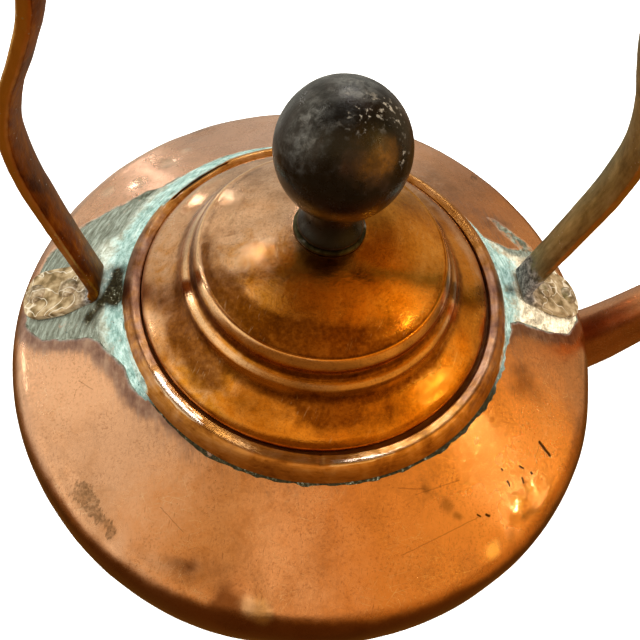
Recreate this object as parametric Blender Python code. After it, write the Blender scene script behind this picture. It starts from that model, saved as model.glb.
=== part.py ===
"""A large old copper range kettle: wide low body, lift-off domed lid with a dark ball knob,
fixed overhead strap handle with a turned grip, and a goose-neck spout.

Metres, +Z up. The origin is the centre of the flat base, +X points to the spout, and the
handle stands in the XZ plane. Every sub-part is one closed solid in one named object.
"""

import math

import bmesh
import bpy
from mathutils import Matrix, Vector

# ---- Driving dimensions -------------------------------------------------------------
GAP = 0.0003  # between pieces that touch
STEPS = 40  # facets round the large turned pieces
SMALL_STEPS = 20  # facets round the small turned pieces
KNOB_STEPS = 28
RIVET_STEPS = 12

LID_Z = 0.125  # height of the lid's outer edge
LID_R = 0.070  # radius of the lid's outer edge
SHEET = 0.0014  # copper sheet thickness

BODY_R = 0.1288  # widest radius of the body
RIM_ROUND = 0.0162  # rounding between shoulder and side
RIM_Z = LID_Z - 0.0333  # height of the widest ring
SLOPE = math.radians(19.6)  # fall of the shoulder
MOUTH_R = 0.0745  # opening in the shoulder
SKIRT = math.radians(16)  # how far the shoulder sheet turns under the widest ring
BASE_R = 0.1060  # outside of the base's turned-up edge
BASE_CORNER = 0.0030
BASE_EDGE_Z = 0.0095  # top of the base's turned-up edge

COLLAR_BORE = 0.0711
COLLAR_FOOT_R = 0.0797
COLLAR_NECK_R = MOUTH_R - 0.0010
SEAT_R = COLLAR_BORE - 0.0004
SEAT_BORE = 0.0646
BEZEL_R = 0.0640
NECK_BOTTOM_Z = LID_Z - 0.0150

KNOB_R = 0.0202  # ball radius
KNOB_Z = LID_Z + 0.0682  # ball centre
NECK_R = 0.0116  # foot of the knob's neck
LID_TOP_Z = LID_Z + 0.0342  # flat seat for the knob
STUD_R = 0.0025

STRAP_X = 0.0880  # upright's centre line at its foot
STRAP_HALF_W = 0.0068
STRAP_HALF_T = 0.0021
FOOT_HALF_W = 0.0112
FOOT_HALF_T = 0.0015
FOOT_END = 0.1196
HEEL_ROUND = 0.0050
SOLDER_T = 0.0009  # solder sole under a handle foot
RIVET_R = 0.0021
RIVET_HEAD_R = 0.0043
RIVET_AT = {"inner": 0.0995, "outer": 0.1137}

GRIP_Z = 0.2560
GRIP_HALF = 0.0575
GRIP_R = 0.0125
STRAP_TOP_X = 0.0650
STRAP_TOP_HALF_W = 0.0085
ROD_R = 0.0030

SPOUT_SIDES = 18
SPOUT_RINGS = 12
SPOUT_WALL = 0.0013

# Wall profile, outside, from the lap under the shoulder down to the base: (radius, height).
WALL = (
    (0.1263, RIM_Z - 0.0010),
    (0.1256, 0.0790),
    (0.1238, 0.0640),
    (0.1205, 0.0460),
    (0.1158, 0.0260),
    (0.1110, 0.0110),
    (0.1078, 0.0030),
)

# Lid profile, outside, from the rolled edge to the knob's seat: (radius, height over LID_Z).
LID = (
    (0.0690, -0.0019),
    (0.0700, -0.0004),
    (0.0692, 0.0014),
    (0.0655, 0.0040),
    (0.0600, 0.0064),
    (0.0560, 0.0090),
    (0.0536, 0.0122),
    (0.0526, 0.0133),
    (0.0502, 0.0151),
    (0.0486, 0.0178),
    (0.0482, 0.0200),
    (0.0460, 0.0228),
    (0.0445, 0.0234),
    (0.0390, 0.0261),
    (0.0290, 0.0301),
    (0.0190, 0.0329),
    (0.0120, 0.0342),
    (0.0030, 0.0342),
)

# Centre line of the upright above its heel: (x, height).
UPRIGHT = (
    (0.0887, 0.1480),
    (0.0894, 0.1660),
    (0.0896, 0.1820),
    (0.0876, 0.1970),
    (0.0820, 0.2100),
    (0.0750, 0.2205),
    (0.0690, 0.2305),
    (0.0658, 0.2410),
    (STRAP_TOP_X, 0.2500),
)

# Spout centre line (x, height) with its half sizes in the XZ plane and along Y.
SPOUT = (
    (0.0960, 0.0350, 0.0262, 0.0225),
    (0.1170, 0.0430, 0.0236, 0.0200),
    (0.1370, 0.0535, 0.0203, 0.0172),
    (0.1510, 0.0690, 0.0170, 0.0148),
    (0.1592, 0.0880, 0.0144, 0.0128),
    (0.1655, 0.1065, 0.0124, 0.0113),
    (0.1745, 0.1225, 0.0108, 0.0101),
    (0.1865, 0.1345, 0.0098, 0.0093),
    (0.1985, 0.1415, 0.0093, 0.0089),
)

# ---- Materials ----------------------------------------------------------------------
FINISHES = {
    "copper": ((0.62, 0.27, 0.13), 0.35, 1.0),
    "lid_copper": ((0.68, 0.30, 0.11), 0.28, 1.0),
    "brass": ((0.34, 0.25, 0.12), 0.45, 1.0),
    "iron": ((0.16, 0.14, 0.13), 0.55, 1.0),
    "solder": ((0.56, 0.58, 0.52), 0.70, 0.6),
    "black_wood": ((0.045, 0.032, 0.028), 0.35, 0.0),
}


def material(name):
    """The named finish, made once."""
    found = bpy.data.materials.get(name)
    if found:
        return found
    colour, roughness, metallic = FINISHES[name]
    made = bpy.data.materials.new(name)
    made.use_nodes = True
    shader = made.node_tree.nodes["Principled BSDF"]
    shader.inputs["Base Color"].default_value = (*colour, 1.0)
    shader.inputs["Roughness"].default_value = roughness
    shader.inputs["Metallic"].default_value = metallic
    made.diffuse_color = (*colour, 1.0)
    return made


# ---- Mesh helpers -------------------------------------------------------------------
def add_object(name, bm, finish, sharp=35.0):
    """Close the mesh off as one smooth-shaded object whose faces point out."""
    bmesh.ops.recalc_face_normals(bm, faces=bm.faces)
    if bm.calc_volume(signed=True) < 0:
        bmesh.ops.reverse_faces(bm, faces=bm.faces)
    mesh = bpy.data.meshes.new(name)
    bm.to_mesh(mesh)
    bm.free()
    mesh.shade_smooth()
    mesh.set_sharp_from_angle(angle=math.radians(sharp))
    mesh.materials.append(material(finish))
    made = bpy.data.objects.new(name, mesh)
    bpy.context.scene.collection.objects.link(made)
    return made


def turned(name, profile, finish, steps=STEPS):
    """Spin a closed (radius, height) outline once round Z."""
    bm = bmesh.new()
    verts = [bm.verts.new((radius, 0.0, height)) for radius, height in profile]
    edges = [bm.edges.new(pair) for pair in zip(verts, verts[1:] + verts[:1])]
    bmesh.ops.spin(
        bm,
        geom=verts + edges,
        cent=(0, 0, 0),
        axis=(0, 0, 1),
        angle=math.tau,
        steps=steps,
        use_merge=True,
    )
    bmesh.ops.remove_doubles(bm, verts=bm.verts, dist=1e-6)
    lone = [edge for edge in bm.edges if not edge.link_faces]
    bmesh.ops.delete(bm, geom=lone, context="EDGES")
    return add_object(name, bm, finish)


def arc(centre, radius, start, end, count):
    """Points on an arc in the (radius, height) plane, angles in degrees."""
    angles = [math.radians(start + (end - start) * i / count) for i in range(count + 1)]
    return [(centre[0] + radius * math.cos(a), centre[1] + radius * math.sin(a)) for a in angles]


def offset_line(points, distance):
    """The open line moved sideways: to its right-hand side when distance is positive."""
    moved = []
    for i, point in enumerate(points):
        before = Vector(points[max(i - 1, 0)])
        after = Vector(points[min(i + 1, len(points) - 1)])
        along = (after - before).normalized()
        moved.append((point[0] + along.y * distance, point[1] - along.x * distance))
    return moved


def sheet_outline(outside, thickness):
    """Closed outline of a bent sheet. The outside runs down, with the metal on its inner side."""
    return list(outside) + offset_line(outside, thickness)[::-1]


def smooth_line(points, t):
    """Catmull-Rom point at t in 0..1 through points of any dimension."""
    spans = len(points) - 1
    place = min(max(t, 0.0), 1.0) * spans
    i = min(int(place), spans - 1)
    u = place - i
    before, first, second, after = (
        Vector(points[min(max(i + k, 0), spans)]) for k in (-1, 0, 1, 2)
    )
    return 0.5 * (
        2 * first
        + (second - before) * u
        + (2 * before - 5 * first + 4 * second - after) * u**2
        + (3 * first - before - 3 * second + after) * u**3
    )


def loft(name, rings, finish, closed_path=False):
    """Skin a list of equal vertex rings, capped at both ends unless the path is closed."""
    bm = bmesh.new()
    loops = [[bm.verts.new(point) for point in ring] for ring in rings]
    pairs = list(zip(loops, loops[1:] + loops[:1])) if closed_path else list(zip(loops, loops[1:]))
    for low, high in pairs:
        for i in range(len(low)):
            k = (i + 1) % len(low)
            bm.faces.new((low[i], low[k], high[k], high[i]))
    if not closed_path:
        bm.faces.new(loops[0])
        bm.faces.new(loops[-1])
    return add_object(name, bm, finish)


def cutter(made):
    """Turn an object into a hidden guide for a Boolean."""
    made.hide_render = True
    made.display_type = "WIRE"
    return made


def cut(made, *tools):
    """Subtract each cutter from the object."""
    for tool in tools:
        change = made.modifiers.new("cut_" + tool.name, "BOOLEAN")
        change.operation = "DIFFERENCE"
        change.solver = "EXACT"
        change.object = tool


# ---- Body ---------------------------------------------------------------------------
def shoulder_z(radius):
    """Height of the shoulder's outer surface."""
    return LID_Z - 0.0044 - math.tan(SLOPE) * (radius - 0.0799)


def wall_radius(height):
    """Outside radius of the side wall."""
    for (r_high, z_high), (r_low, z_low) in zip(WALL, WALL[1:]):
        if height >= z_low:
            return r_low + (r_high - r_low) * (height - z_low) / (z_high - z_low)
    return WALL[-1][0]


def build_body():
    rim_centre = (BODY_R - RIM_ROUND, RIM_Z)
    slope_end = 90 - math.degrees(SLOPE)
    outside = [(MOUTH_R, shoulder_z(MOUTH_R))]
    outside += arc(rim_centre, RIM_ROUND, slope_end, -math.degrees(SKIRT), 7)
    shoulder = turned("body_shoulder", sheet_outline(outside, SHEET), "copper")

    wall = turned("body_wall", sheet_outline(WALL, SHEET), "copper")

    corner = (BASE_R - BASE_CORNER, BASE_CORNER)
    base = [(BASE_R, BASE_EDGE_Z)] + arc(corner, BASE_CORNER, 0, -90, 3)
    base += [(0.0, 0.0), (0.0, SHEET), (BASE_R - BASE_CORNER, SHEET)]
    base += [(BASE_R - SHEET, BASE_CORNER), (BASE_R - SHEET, BASE_EDGE_Z)]
    turned("base_plate", base, "copper")
    return shoulder, wall


def build_collar():
    """The raised ring round the mouth, the ledge inside it, and the solder at its foot."""
    lip = [
        (COLLAR_BORE, LID_Z - 0.0003),
        (0.0726, LID_Z + 0.0006),
        (0.0742, LID_Z + 0.0009),
        (0.0760, LID_Z),
        (0.0783, LID_Z - 0.0022),
        (COLLAR_FOOT_R, LID_Z - 0.0038),
    ]
    under = [
        (COLLAR_FOOT_R, shoulder_z(COLLAR_FOOT_R) + GAP),
        (MOUTH_R + 0.0006, shoulder_z(MOUTH_R + 0.0006) + GAP),
        (COLLAR_NECK_R, shoulder_z(MOUTH_R + 0.0006) + GAP),
        (COLLAR_NECK_R, NECK_BOTTOM_Z + 0.0020),
        (COLLAR_BORE, NECK_BOTTOM_Z + 0.0020),
    ]
    turned("collar_ring", lip + under, "copper")

    ledge = LID_Z - 0.0024
    seat = [
        (SEAT_R, ledge),
        (SEAT_R, ledge - SHEET),
        (SEAT_BORE + SHEET, ledge - SHEET - 0.0006),
        (SEAT_BORE + SHEET, NECK_BOTTOM_Z),
        (SEAT_BORE, NECK_BOTTOM_Z),
        (SEAT_BORE, ledge),
    ]
    turned("collar_seat", seat, "copper")

    foot_r = COLLAR_FOOT_R + GAP
    bead = [
        (foot_r, shoulder_z(foot_r) + 0.0013),
        (foot_r, shoulder_z(foot_r) + GAP),
        (foot_r + 0.0022, shoulder_z(foot_r + 0.0022) + GAP),
        (foot_r + 0.0012, shoulder_z(foot_r + 0.0012) + 0.0011),
    ]
    turned("collar_solder", bead, "solder")


# ---- Lid and knob -------------------------------------------------------------------
def build_lid():
    outside = [(radius, LID_Z + height) for radius, height in LID[::-1]]
    turned("lid_dome", sheet_outline(outside, 0.0011), "lid_copper")

    bezel_in = BEZEL_R - 0.0011
    bezel = [
        (BEZEL_R, LID_Z + 0.0024),
        (BEZEL_R, NECK_BOTTOM_Z + 0.0012),
        (bezel_in, NECK_BOTTOM_Z + 0.0012),
        (bezel_in, LID_Z + 0.0024),
    ]
    turned("lid_bezel", bezel, "lid_copper")

    seat_low = LID_TOP_Z + GAP
    bore = STUD_R + GAP
    ring = [
        (bore, seat_low + 0.0011),
        (0.0119, seat_low + 0.0011),
        (0.0128, seat_low + 0.0006),
        (0.0128, seat_low),
        (bore, seat_low),
    ]
    turned("knob_seat_ring", ring, "brass", SMALL_STEPS)

    foot = seat_low + 0.0011 + GAP
    waist_z = KNOB_Z - KNOB_R + 0.0020
    waist_r = 0.0082
    join = math.degrees(math.asin(waist_r / KNOB_R)) - 90
    stud_top = KNOB_Z + 0.0060
    knob = arc((0.0, KNOB_Z), KNOB_R, 90, join, 10)
    knob += [(waist_r + 0.0001, waist_z), (0.0091, foot + 0.0060), (NECK_R, foot + 0.0018)]
    knob += [(NECK_R, foot), (bore, foot), (bore, stud_top + GAP), (0.0, stud_top + GAP)]
    turned("knob_ball", knob, "black_wood", KNOB_STEPS)

    stud_low = LID_TOP_Z - 0.0096
    stud = [(0.0, stud_top), (STUD_R, stud_top), (STUD_R, stud_low), (0.0, stud_low)]
    turned("knob_stud", stud, "iron", SMALL_STEPS)

    under = LID_TOP_Z - 0.0011 - GAP
    washer = [(bore, under), (0.0080, under), (0.0080, under - 0.0011), (bore, under - 0.0011)]
    turned("knob_washer", washer, "brass", SMALL_STEPS)

    nut_top = under - 0.0011 - GAP
    nut_low = nut_top - 0.0044
    hex_bore = bore / math.cos(math.pi / 6)
    nut = [(hex_bore, nut_top), (0.0058, nut_top), (0.0058, nut_low), (hex_bore, nut_low)]
    turned("knob_nut", nut, "iron", 6)


# ---- Handle -------------------------------------------------------------------------
def foot_z(x, half_thickness):
    """Height of a handle foot's centre line over the shoulder and its solder sole."""
    return shoulder_z(x) + (2 * GAP + SOLDER_T + half_thickness) / math.cos(SLOPE)


def strap_stations():
    """(x, z, half width, half thickness) from the foot's outer end to the top of the strap."""
    heel_x = STRAP_X + HEEL_ROUND
    bend_z = foot_z(heel_x, FOOT_HALF_T) + HEEL_ROUND / math.cos(SLOPE)
    stations = []
    outline = ((FOOT_END, 0.25), (0.1186, 0.58), (0.1165, 0.85), (0.1130, 0.98), (0.1080, 1.0),
               (0.1010, 0.97), (0.0965, 0.84))
    for x, share in outline:
        stations.append((x, foot_z(x, FOOT_HALF_T), FOOT_HALF_W * share, FOOT_HALF_T))
    bend = arc((heel_x, bend_z), HEEL_ROUND, -90 - math.degrees(SLOPE), -180, 5)
    for i, (x, z) in enumerate(bend):
        share = i / (len(bend) - 1)
        half_t = FOOT_HALF_T + (STRAP_HALF_T - FOOT_HALF_T) * share
        half_w = FOOT_HALF_W * 0.72 + (STRAP_HALF_W - FOOT_HALF_W * 0.72) * share
        stations.append((x, z, half_w, half_t))
    for i in range(17):
        x, z = smooth_line(UPRIGHT, i / 16)
        widen = max(0.0, (z - 0.236) / 0.014)
        half_w = STRAP_HALF_W + (STRAP_TOP_HALF_W - STRAP_HALF_W) * min(widen, 1.0)
        stations.append((x, z, half_w, STRAP_HALF_T))
    for rise in (0.0, 0.35, 0.65, 0.86, 0.97):
        half_w = STRAP_TOP_HALF_W * math.sqrt(1.0 - rise**2)
        z = GRIP_Z + STRAP_TOP_HALF_W * rise
        stations.append((STRAP_TOP_X, z, half_w, STRAP_HALF_T))
    return stations


def strap_rings(stations, side):
    """Sections of the strap, each an oblong with small chamfers, on the +X or -X side."""
    rings = []
    for i, (x, z, half_w, half_t) in enumerate(stations):
        before = Vector(stations[max(i - 1, 0)][:2])
        after = Vector(stations[min(i + 1, len(stations) - 1)][:2])
        along = (after - before).normalized()
        out_x, out_z = along.y, -along.x
        chamfer = min(0.0008, half_t * 0.4, half_w * 0.4)
        corners = ((0, 1), (1, 0))
        section = []
        for sign_w, sign_t in ((1, 1), (-1, 1), (-1, -1), (1, -1)):
            order = corners if sign_w * sign_t > 0 else corners[::-1]
            for trim_w, trim_t in order:
                section.append((sign_w * (half_w - trim_w * chamfer),
                                sign_t * (half_t - trim_t * chamfer)))
        rings.append([(side * (x + out_x * t), w, z + out_z * t) for w, t in section])
    return rings


def rivet_matrix(x, side):
    """Places a rivet's axis square to the shoulder at x, on the +X or -X side."""
    place = Matrix.Translation((side * x, 0.0, shoulder_z(x)))
    return place @ Matrix.Rotation(side * SLOPE, 4, "Y")


def build_handle(shoulder):
    stations = strap_stations()
    strap_top = 2 * GAP + SOLDER_T + 2 * FOOT_HALF_T
    rod_holes = []
    for side, word in ((1, "right"), (-1, "left")):
        strap = loft("handle_upright_" + word, strap_rings(stations, side), "brass")
        sole = solder_sole("foot_solder_" + word, side)
        rod_hole = turned(
            "guide_rod_" + word,
            [(0.0, -0.010), (ROD_R + GAP, -0.010), (ROD_R + GAP, 0.010), (0.0, 0.010)],
            "iron",
            SMALL_STEPS,
        )
        rod_hole.rotation_euler = (0.0, math.pi / 2, 0.0)
        rod_hole.location = (side * STRAP_TOP_X, 0.0, GRIP_Z)
        rod_holes.append(cutter(rod_hole))
        cut(strap, rod_hole)
        for which, x in RIVET_AT.items():
            head_low = strap_top + GAP
            tail = -SHEET - GAP
            rivet = [
                (0.0, head_low + 0.0019),
                (RIVET_HEAD_R * 0.55, head_low + 0.0015),
                (RIVET_HEAD_R, head_low + 0.0004),
                (RIVET_HEAD_R, head_low),
                (RIVET_R, head_low),
                (RIVET_R, tail),
                (RIVET_HEAD_R * 0.9, tail),
                (RIVET_HEAD_R * 0.8, tail - 0.0010),
                (0.0, tail - 0.0013),
            ]
            made = turned(f"foot_rivet_{word}_{which}", rivet, "solder", RIVET_STEPS)
            made.matrix_world = rivet_matrix(x, side)
            hole_r = RIVET_R + GAP
            hole = turned(
                f"guide_rivet_{word}_{which}",
                [(0.0, -0.008), (hole_r, -0.008), (hole_r, 0.012), (0.0, 0.012)],
                "iron",
                RIVET_STEPS,
            )
            hole.matrix_world = rivet_matrix(x, side)
            cutter(hole)
            cut(strap, hole)
            cut(sole, hole)
            cut(shoulder, hole)


def solder_sole(name, side):
    """A thin sector of solder on the shoulder, under a handle foot."""
    r_in, r_out, reach = 0.0836, 0.1170, math.radians(8.6)
    rows = 9
    rings = []
    for i in range(rows):
        turn = reach * (2 * i / (rows - 1) - 1)
        ring = []
        for radius, lift in ((r_in, 0), (r_out, 0), (r_out, 1), (r_in, 1)):
            z = shoulder_z(radius) + (GAP + lift * SOLDER_T) / math.cos(SLOPE)
            ring.append((side * radius * math.cos(turn), radius * math.sin(turn), z))
        rings.append(ring)
    return loft(name, rings, "solder")


def build_grip():
    """A turned grip with a brass ferrule at each end, on an iron rod headed over both straps."""
    bore = ROD_R + GAP
    turns = 12
    outside = []
    for i in range(turns + 1):
        x = GRIP_HALF * (1 - 2 * i / turns)
        swell = math.cos(math.pi / 2 * x / GRIP_HALF)
        outside.append((0.0088 + (GRIP_R - 0.0088) * swell, x))
    grip = [(bore, GRIP_HALF)] + outside + [(bore, -GRIP_HALF)]
    pieces = [turned("handle_grip", grip, "black_wood", SMALL_STEPS)]

    inner_face = STRAP_TOP_X - STRAP_HALF_T
    for side, word in ((1, "right"), (-1, "left")):
        near, far = GRIP_HALF + GAP, inner_face - GAP
        ferrule = [(bore, side * near), (0.0098, side * near), (0.0105, side * (near + 0.0014)),
                   (0.0105, side * (far - 0.0012)), (0.0094, side * far), (bore, side * far)]
        pieces.append(turned("grip_ferrule_" + word, ferrule, "brass", SMALL_STEPS))

    head = STRAP_TOP_X + STRAP_HALF_T + GAP
    half = [(0.0, head + 0.0026), (0.0034, head + 0.0022), (0.0056, head + 0.0008),
            (0.0056, head), (ROD_R, head)]
    rod = half + [(radius, -x) for radius, x in half[::-1]]
    pieces.append(turned("grip_rod", rod, "iron", SMALL_STEPS))
    for piece in pieces:
        piece.rotation_euler = (0.0, math.pi / 2, 0.0)
        piece.location = (0.0, 0.0, GRIP_Z)


# ---- Spout --------------------------------------------------------------------------
def spout_point(t, turn, grow):
    """A point on the spout's skin, grown outwards by a clearance or a wall."""
    x, z, half_h, half_w = smooth_line(SPOUT, t)
    ahead = smooth_line(SPOUT, min(t + 0.01, 1.0))
    behind = smooth_line(SPOUT, max(t - 0.01, 0.0))
    along = Vector((ahead.x - behind.x, ahead.y - behind.y)).normalized()
    high = (half_h + grow) * math.sin(turn)
    wide = (half_w + grow) * math.cos(turn)
    return Vector((x - along.y * high, wide, z + along.x * high))


def meet_wall(turn, grow, clearance):
    """The spout's parameter where its skin leaves the side wall by the clearance."""
    low, high = 0.0, 0.45
    for _ in range(40):
        middle = (low + high) / 2
        point = spout_point(middle, turn, grow)
        if math.hypot(point.x, point.y) < wall_radius(point.z) + clearance:
            low = middle
        else:
            high = middle
    return (low + high) / 2


def build_spout(wall):
    turns = [math.tau * i / SPOUT_SIDES for i in range(SPOUT_SIDES)]
    starts = [meet_wall(turn, 0.0, -SHEET - 0.0012) for turn in turns]
    outer, inner = [], []
    for k in range(SPOUT_RINGS + 1):
        share = k / SPOUT_RINGS
        rim = 0.0012 if k >= SPOUT_RINGS - 1 else 0.0
        places = [start + (1.0 - start) * share for start in starts]
        outer.append([spout_point(t, turn, rim) for t, turn in zip(places, turns)])
        inner.append([spout_point(t, turn, -SPOUT_WALL) for t, turn in zip(places, turns)])
    loft("spout_tube", outer + inner[::-1], "copper", closed_path=True)

    grow = 0.00035
    hole = [[spout_point(t, turn, grow) for turn in turns] for t in (0.0, 0.1, 0.2, 0.3, 0.4)]
    cut(wall, cutter(loft("guide_spout", hole, "iron")))

    root, spread, climb = [], [], []
    for turn in turns:
        foot = meet_wall(turn, GAP, GAP)
        root.append(spout_point(foot, turn, GAP))
        wide = meet_wall(turn, 0.0034, GAP)
        spread.append(spout_point(wide, turn, 0.0034))
        climb.append(spout_point(foot + 0.026, turn, GAP + 0.0002))
    sections = [list(points) for points in zip(root, spread, climb)]
    loft("spout_solder", sections, "solder", closed_path=True)


def main():
    for old in list(bpy.data.objects):
        bpy.data.objects.remove(old)
    shoulder, wall = build_body()
    build_collar()
    build_lid()
    build_handle(shoulder)
    build_grip()
    build_spout(wall)


main()
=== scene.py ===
"""An old copper range kettle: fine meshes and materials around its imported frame.

Lengths are metres unless a name ends in mm or a table's comment says mm. Azimuths are degrees
about +Z, counted from +X, which points to the spout.
"""

import math

import bmesh
import bpy
import numpy as np
from mathutils import Matrix, Vector


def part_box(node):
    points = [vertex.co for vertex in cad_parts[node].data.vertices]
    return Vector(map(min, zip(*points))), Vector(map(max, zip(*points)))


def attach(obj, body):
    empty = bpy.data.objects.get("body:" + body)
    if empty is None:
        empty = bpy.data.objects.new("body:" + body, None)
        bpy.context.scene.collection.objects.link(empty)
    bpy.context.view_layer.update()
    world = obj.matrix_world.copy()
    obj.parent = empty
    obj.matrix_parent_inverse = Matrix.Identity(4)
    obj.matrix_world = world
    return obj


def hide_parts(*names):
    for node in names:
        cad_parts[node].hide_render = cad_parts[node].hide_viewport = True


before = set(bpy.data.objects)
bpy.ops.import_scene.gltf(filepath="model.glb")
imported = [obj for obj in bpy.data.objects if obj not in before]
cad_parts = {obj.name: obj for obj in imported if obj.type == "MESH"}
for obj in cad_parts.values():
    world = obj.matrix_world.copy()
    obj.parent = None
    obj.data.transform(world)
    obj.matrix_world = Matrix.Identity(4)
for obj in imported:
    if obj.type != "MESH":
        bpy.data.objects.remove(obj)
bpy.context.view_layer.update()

MM = 0.001

# ---- Places read from the frame ------------------------------------------------------
LID_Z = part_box("lid_dome")[0].z + 1.9 * MM  # the plane of the lid's outer edge
BALL_LOW, BALL_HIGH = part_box("knob_ball")
BALL_R = (BALL_HIGH.x - BALL_LOW.x) / 2
BALL_Z = BALL_HIGH.z - BALL_R
GRIP_LOW, GRIP_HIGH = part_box("handle_grip")
GRIP_Z = (GRIP_LOW.z + GRIP_HIGH.z) / 2
GRIP_R = GRIP_HIGH.z - GRIP_Z

# ---- Sizes shared by several pieces --------------------------------------------------
SHEET = 1.4 * MM  # thickness of the copper
SLOPE = math.radians(19.6)  # fall of the shoulder
BODY_R = 128.8 * MM
RIM_ROUND = 16.2 * MM  # the shoulder's rounded rim and the height of its centre
RIM_Z = LID_Z - 33.3 * MM
MOUTH_R = 74.5 * MM
SOLDER_T = 0.9 * MM  # solder under a strap's foot, with a gap on either side
GAP = 0.3 * MM


# ---- Numbers for irregular shapes ----------------------------------------------------
def lattice(cell, seed):
    """A repeatable value in -1..1 for each whole-numbered cell."""
    mixed = cell[..., 0] * 374761393 + cell[..., 1] * 668265263 + cell[..., 2] * 1440662683
    mixed = (mixed + seed * 144665) & 0xFFFFFFFF
    mixed = ((mixed ^ (mixed >> 13)) * 1274126177) & 0xFFFFFFFF
    return ((mixed ^ (mixed >> 16)) & 0xFFFF) / 32767.5 - 1.0


def lumps(points, size_mm, seed=0, octaves=3, fade=0.5):
    """Smooth noise in about -1..1 at each point, with its largest lumps size_mm wide."""
    total = np.zeros(points.shape[:-1])
    strength, share = 1.0, 0.0
    for octave in range(octaves):
        scaled = points / (size_mm * MM) * 2.0**octave
        cell = np.floor(scaled).astype(np.int64)
        part = scaled - cell
        part = part * part * (3 - 2 * part)
        for corner in range(8):
            step = np.array([corner & 1, corner >> 1 & 1, corner >> 2 & 1])
            weight = np.prod(np.where(step, part, 1 - part), axis=-1)
            total += strength * weight * lattice(cell + step, seed + 31 * octave)
        share += strength
        strength *= fade
    return total / share


def ramp(low, high, value):
    """0 below low, 1 above high, smooth between."""
    part = np.clip((value - low) / (high - low), 0, 1)
    return part * part * (3 - 2 * part)


def bell(value, centre, width, power=2):
    """1 at the centre, falling off over a width. A higher power makes the top flatter."""
    return np.exp(-(((value - centre) / width) ** power))


def polar(points):
    """Radius in mm and azimuth in degrees of each point."""
    x, y = points[..., 0], points[..., 1]
    return np.hypot(x, y) / MM, np.degrees(np.arctan2(y, x))


def near(points, azimuth, radius_mm, size_mm):
    """1 at a place on the shoulder or lid, falling off over a size."""
    x = radius_mm * MM * math.cos(math.radians(azimuth))
    y = radius_mm * MM * math.sin(math.radians(azimuth))
    distance = (points[..., 0] - x) ** 2 + (points[..., 1] - y) ** 2
    return np.exp(-distance / (size_mm * MM) ** 2)


def near_line(points, start_mm, end_mm, width_mm):
    """1 on a straight line seen from above, falling off over its width."""
    x, y = points[..., 0] / MM, points[..., 1] / MM
    run_x, run_y = end_mm[0] - start_mm[0], end_mm[1] - start_mm[1]
    share = ((x - start_mm[0]) * run_x + (y - start_mm[1]) * run_y) / (run_x**2 + run_y**2)
    share = np.clip(share, 0, 1)
    away = np.hypot(x - start_mm[0] - share * run_x, y - start_mm[1] - share * run_y)
    return bell(away, 0, width_mm)


# ---- Mesh making ---------------------------------------------------------------------
def soften(points, rounds=2, closed=False):
    """Round the corners of a line by cutting them."""
    line = [np.array(point, float) for point in points]
    for _ in range(rounds):
        ends = line + line[:1] if closed else line
        cut = [] if closed else [line[0]]
        for a, b in zip(ends, ends[1:]):
            cut += [a * 0.75 + b * 0.25, a * 0.25 + b * 0.75]
        line = cut if closed else cut + [line[-1]]
    return line


def arc(centre, radius, start, end, count):
    """Points on an arc, angles in degrees."""
    angles = np.radians(np.linspace(start, end, count + 1))
    return [(centre[0] + radius * math.cos(a), centre[1] + radius * math.sin(a)) for a in angles]


def divide(points, step):
    """Add points so that no stretch is longer than step."""
    line = [np.array(points[0], float)]
    for a, b in zip(points, points[1:]):
        a, b = np.array(a, float), np.array(b, float)
        count = max(1, math.ceil(np.linalg.norm(b - a) / step))
        line += [a + (b - a) * i / count for i in range(1, count + 1)]
    return np.array(line)


def metres(points_mm, lift=0.0):
    """(radius, height) points in mm as metres, raised by lift."""
    return [(r * MM, lift + z * MM) for r, z in points_mm]


def closed_line(points, step_mm):
    """A closed outline with no stretch longer than step_mm."""
    points = list(points)
    return divide(points + points[:1], step_mm * MM)[:-1]


def across(line):
    """Unit normals of an open line in its plane, to its left-hand side."""
    along = np.gradient(line, axis=0)
    along /= np.maximum(np.linalg.norm(along, axis=1, keepdims=True), 1e-12)
    return np.stack([-along[:, 1], along[:, 0]], axis=1)


def curve_through(points, t):
    """Catmull-Rom point at t in 0..1 through points of any dimension."""
    spans = len(points) - 1
    place = min(max(t, 0.0), 1.0) * spans
    i = min(int(place), spans - 1)
    u = place - i
    a, b, c, d = (np.array(points[min(max(i + k, 0), spans)]) for k in (-1, 0, 1, 2))
    bend = (2 * a - 5 * b + 4 * c - d) * u**2 + (3 * b - a - 3 * c + d) * u**3
    return 0.5 * (2 * b + (c - a) * u + bend)


def mesh_object(name, points, faces, material, body, nodes=(), sharp=40.0):
    """One closed piece with its faces pointing out, riding on its body."""
    mesh = bpy.data.meshes.new(name)
    mesh.from_pydata(points.tolist(), [], faces)
    bm = bmesh.new()
    bm.from_mesh(mesh)
    bmesh.ops.remove_doubles(bm, verts=bm.verts, dist=1e-7)
    bmesh.ops.recalc_face_normals(bm, faces=bm.faces)
    if bm.calc_volume(signed=True) < 0:
        bmesh.ops.reverse_faces(bm, faces=bm.faces)
    bm.to_mesh(mesh)
    bm.free()
    mesh.shade_smooth()
    mesh.set_sharp_from_angle(angle=math.radians(sharp))
    mesh.materials.append(material)
    made = bpy.data.objects.new(name, mesh)
    bpy.context.scene.collection.objects.link(made)
    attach(made, body)
    if nodes:
        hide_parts(*nodes)
    return made


def pushed_out(rows, centre, uneven_mm):
    """Points moved away from their centre by an amount each."""
    away = rows - centre
    away /= np.linalg.norm(away, axis=-1, keepdims=True)
    return rows + away * uneven_mm[..., None] * MM


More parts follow.
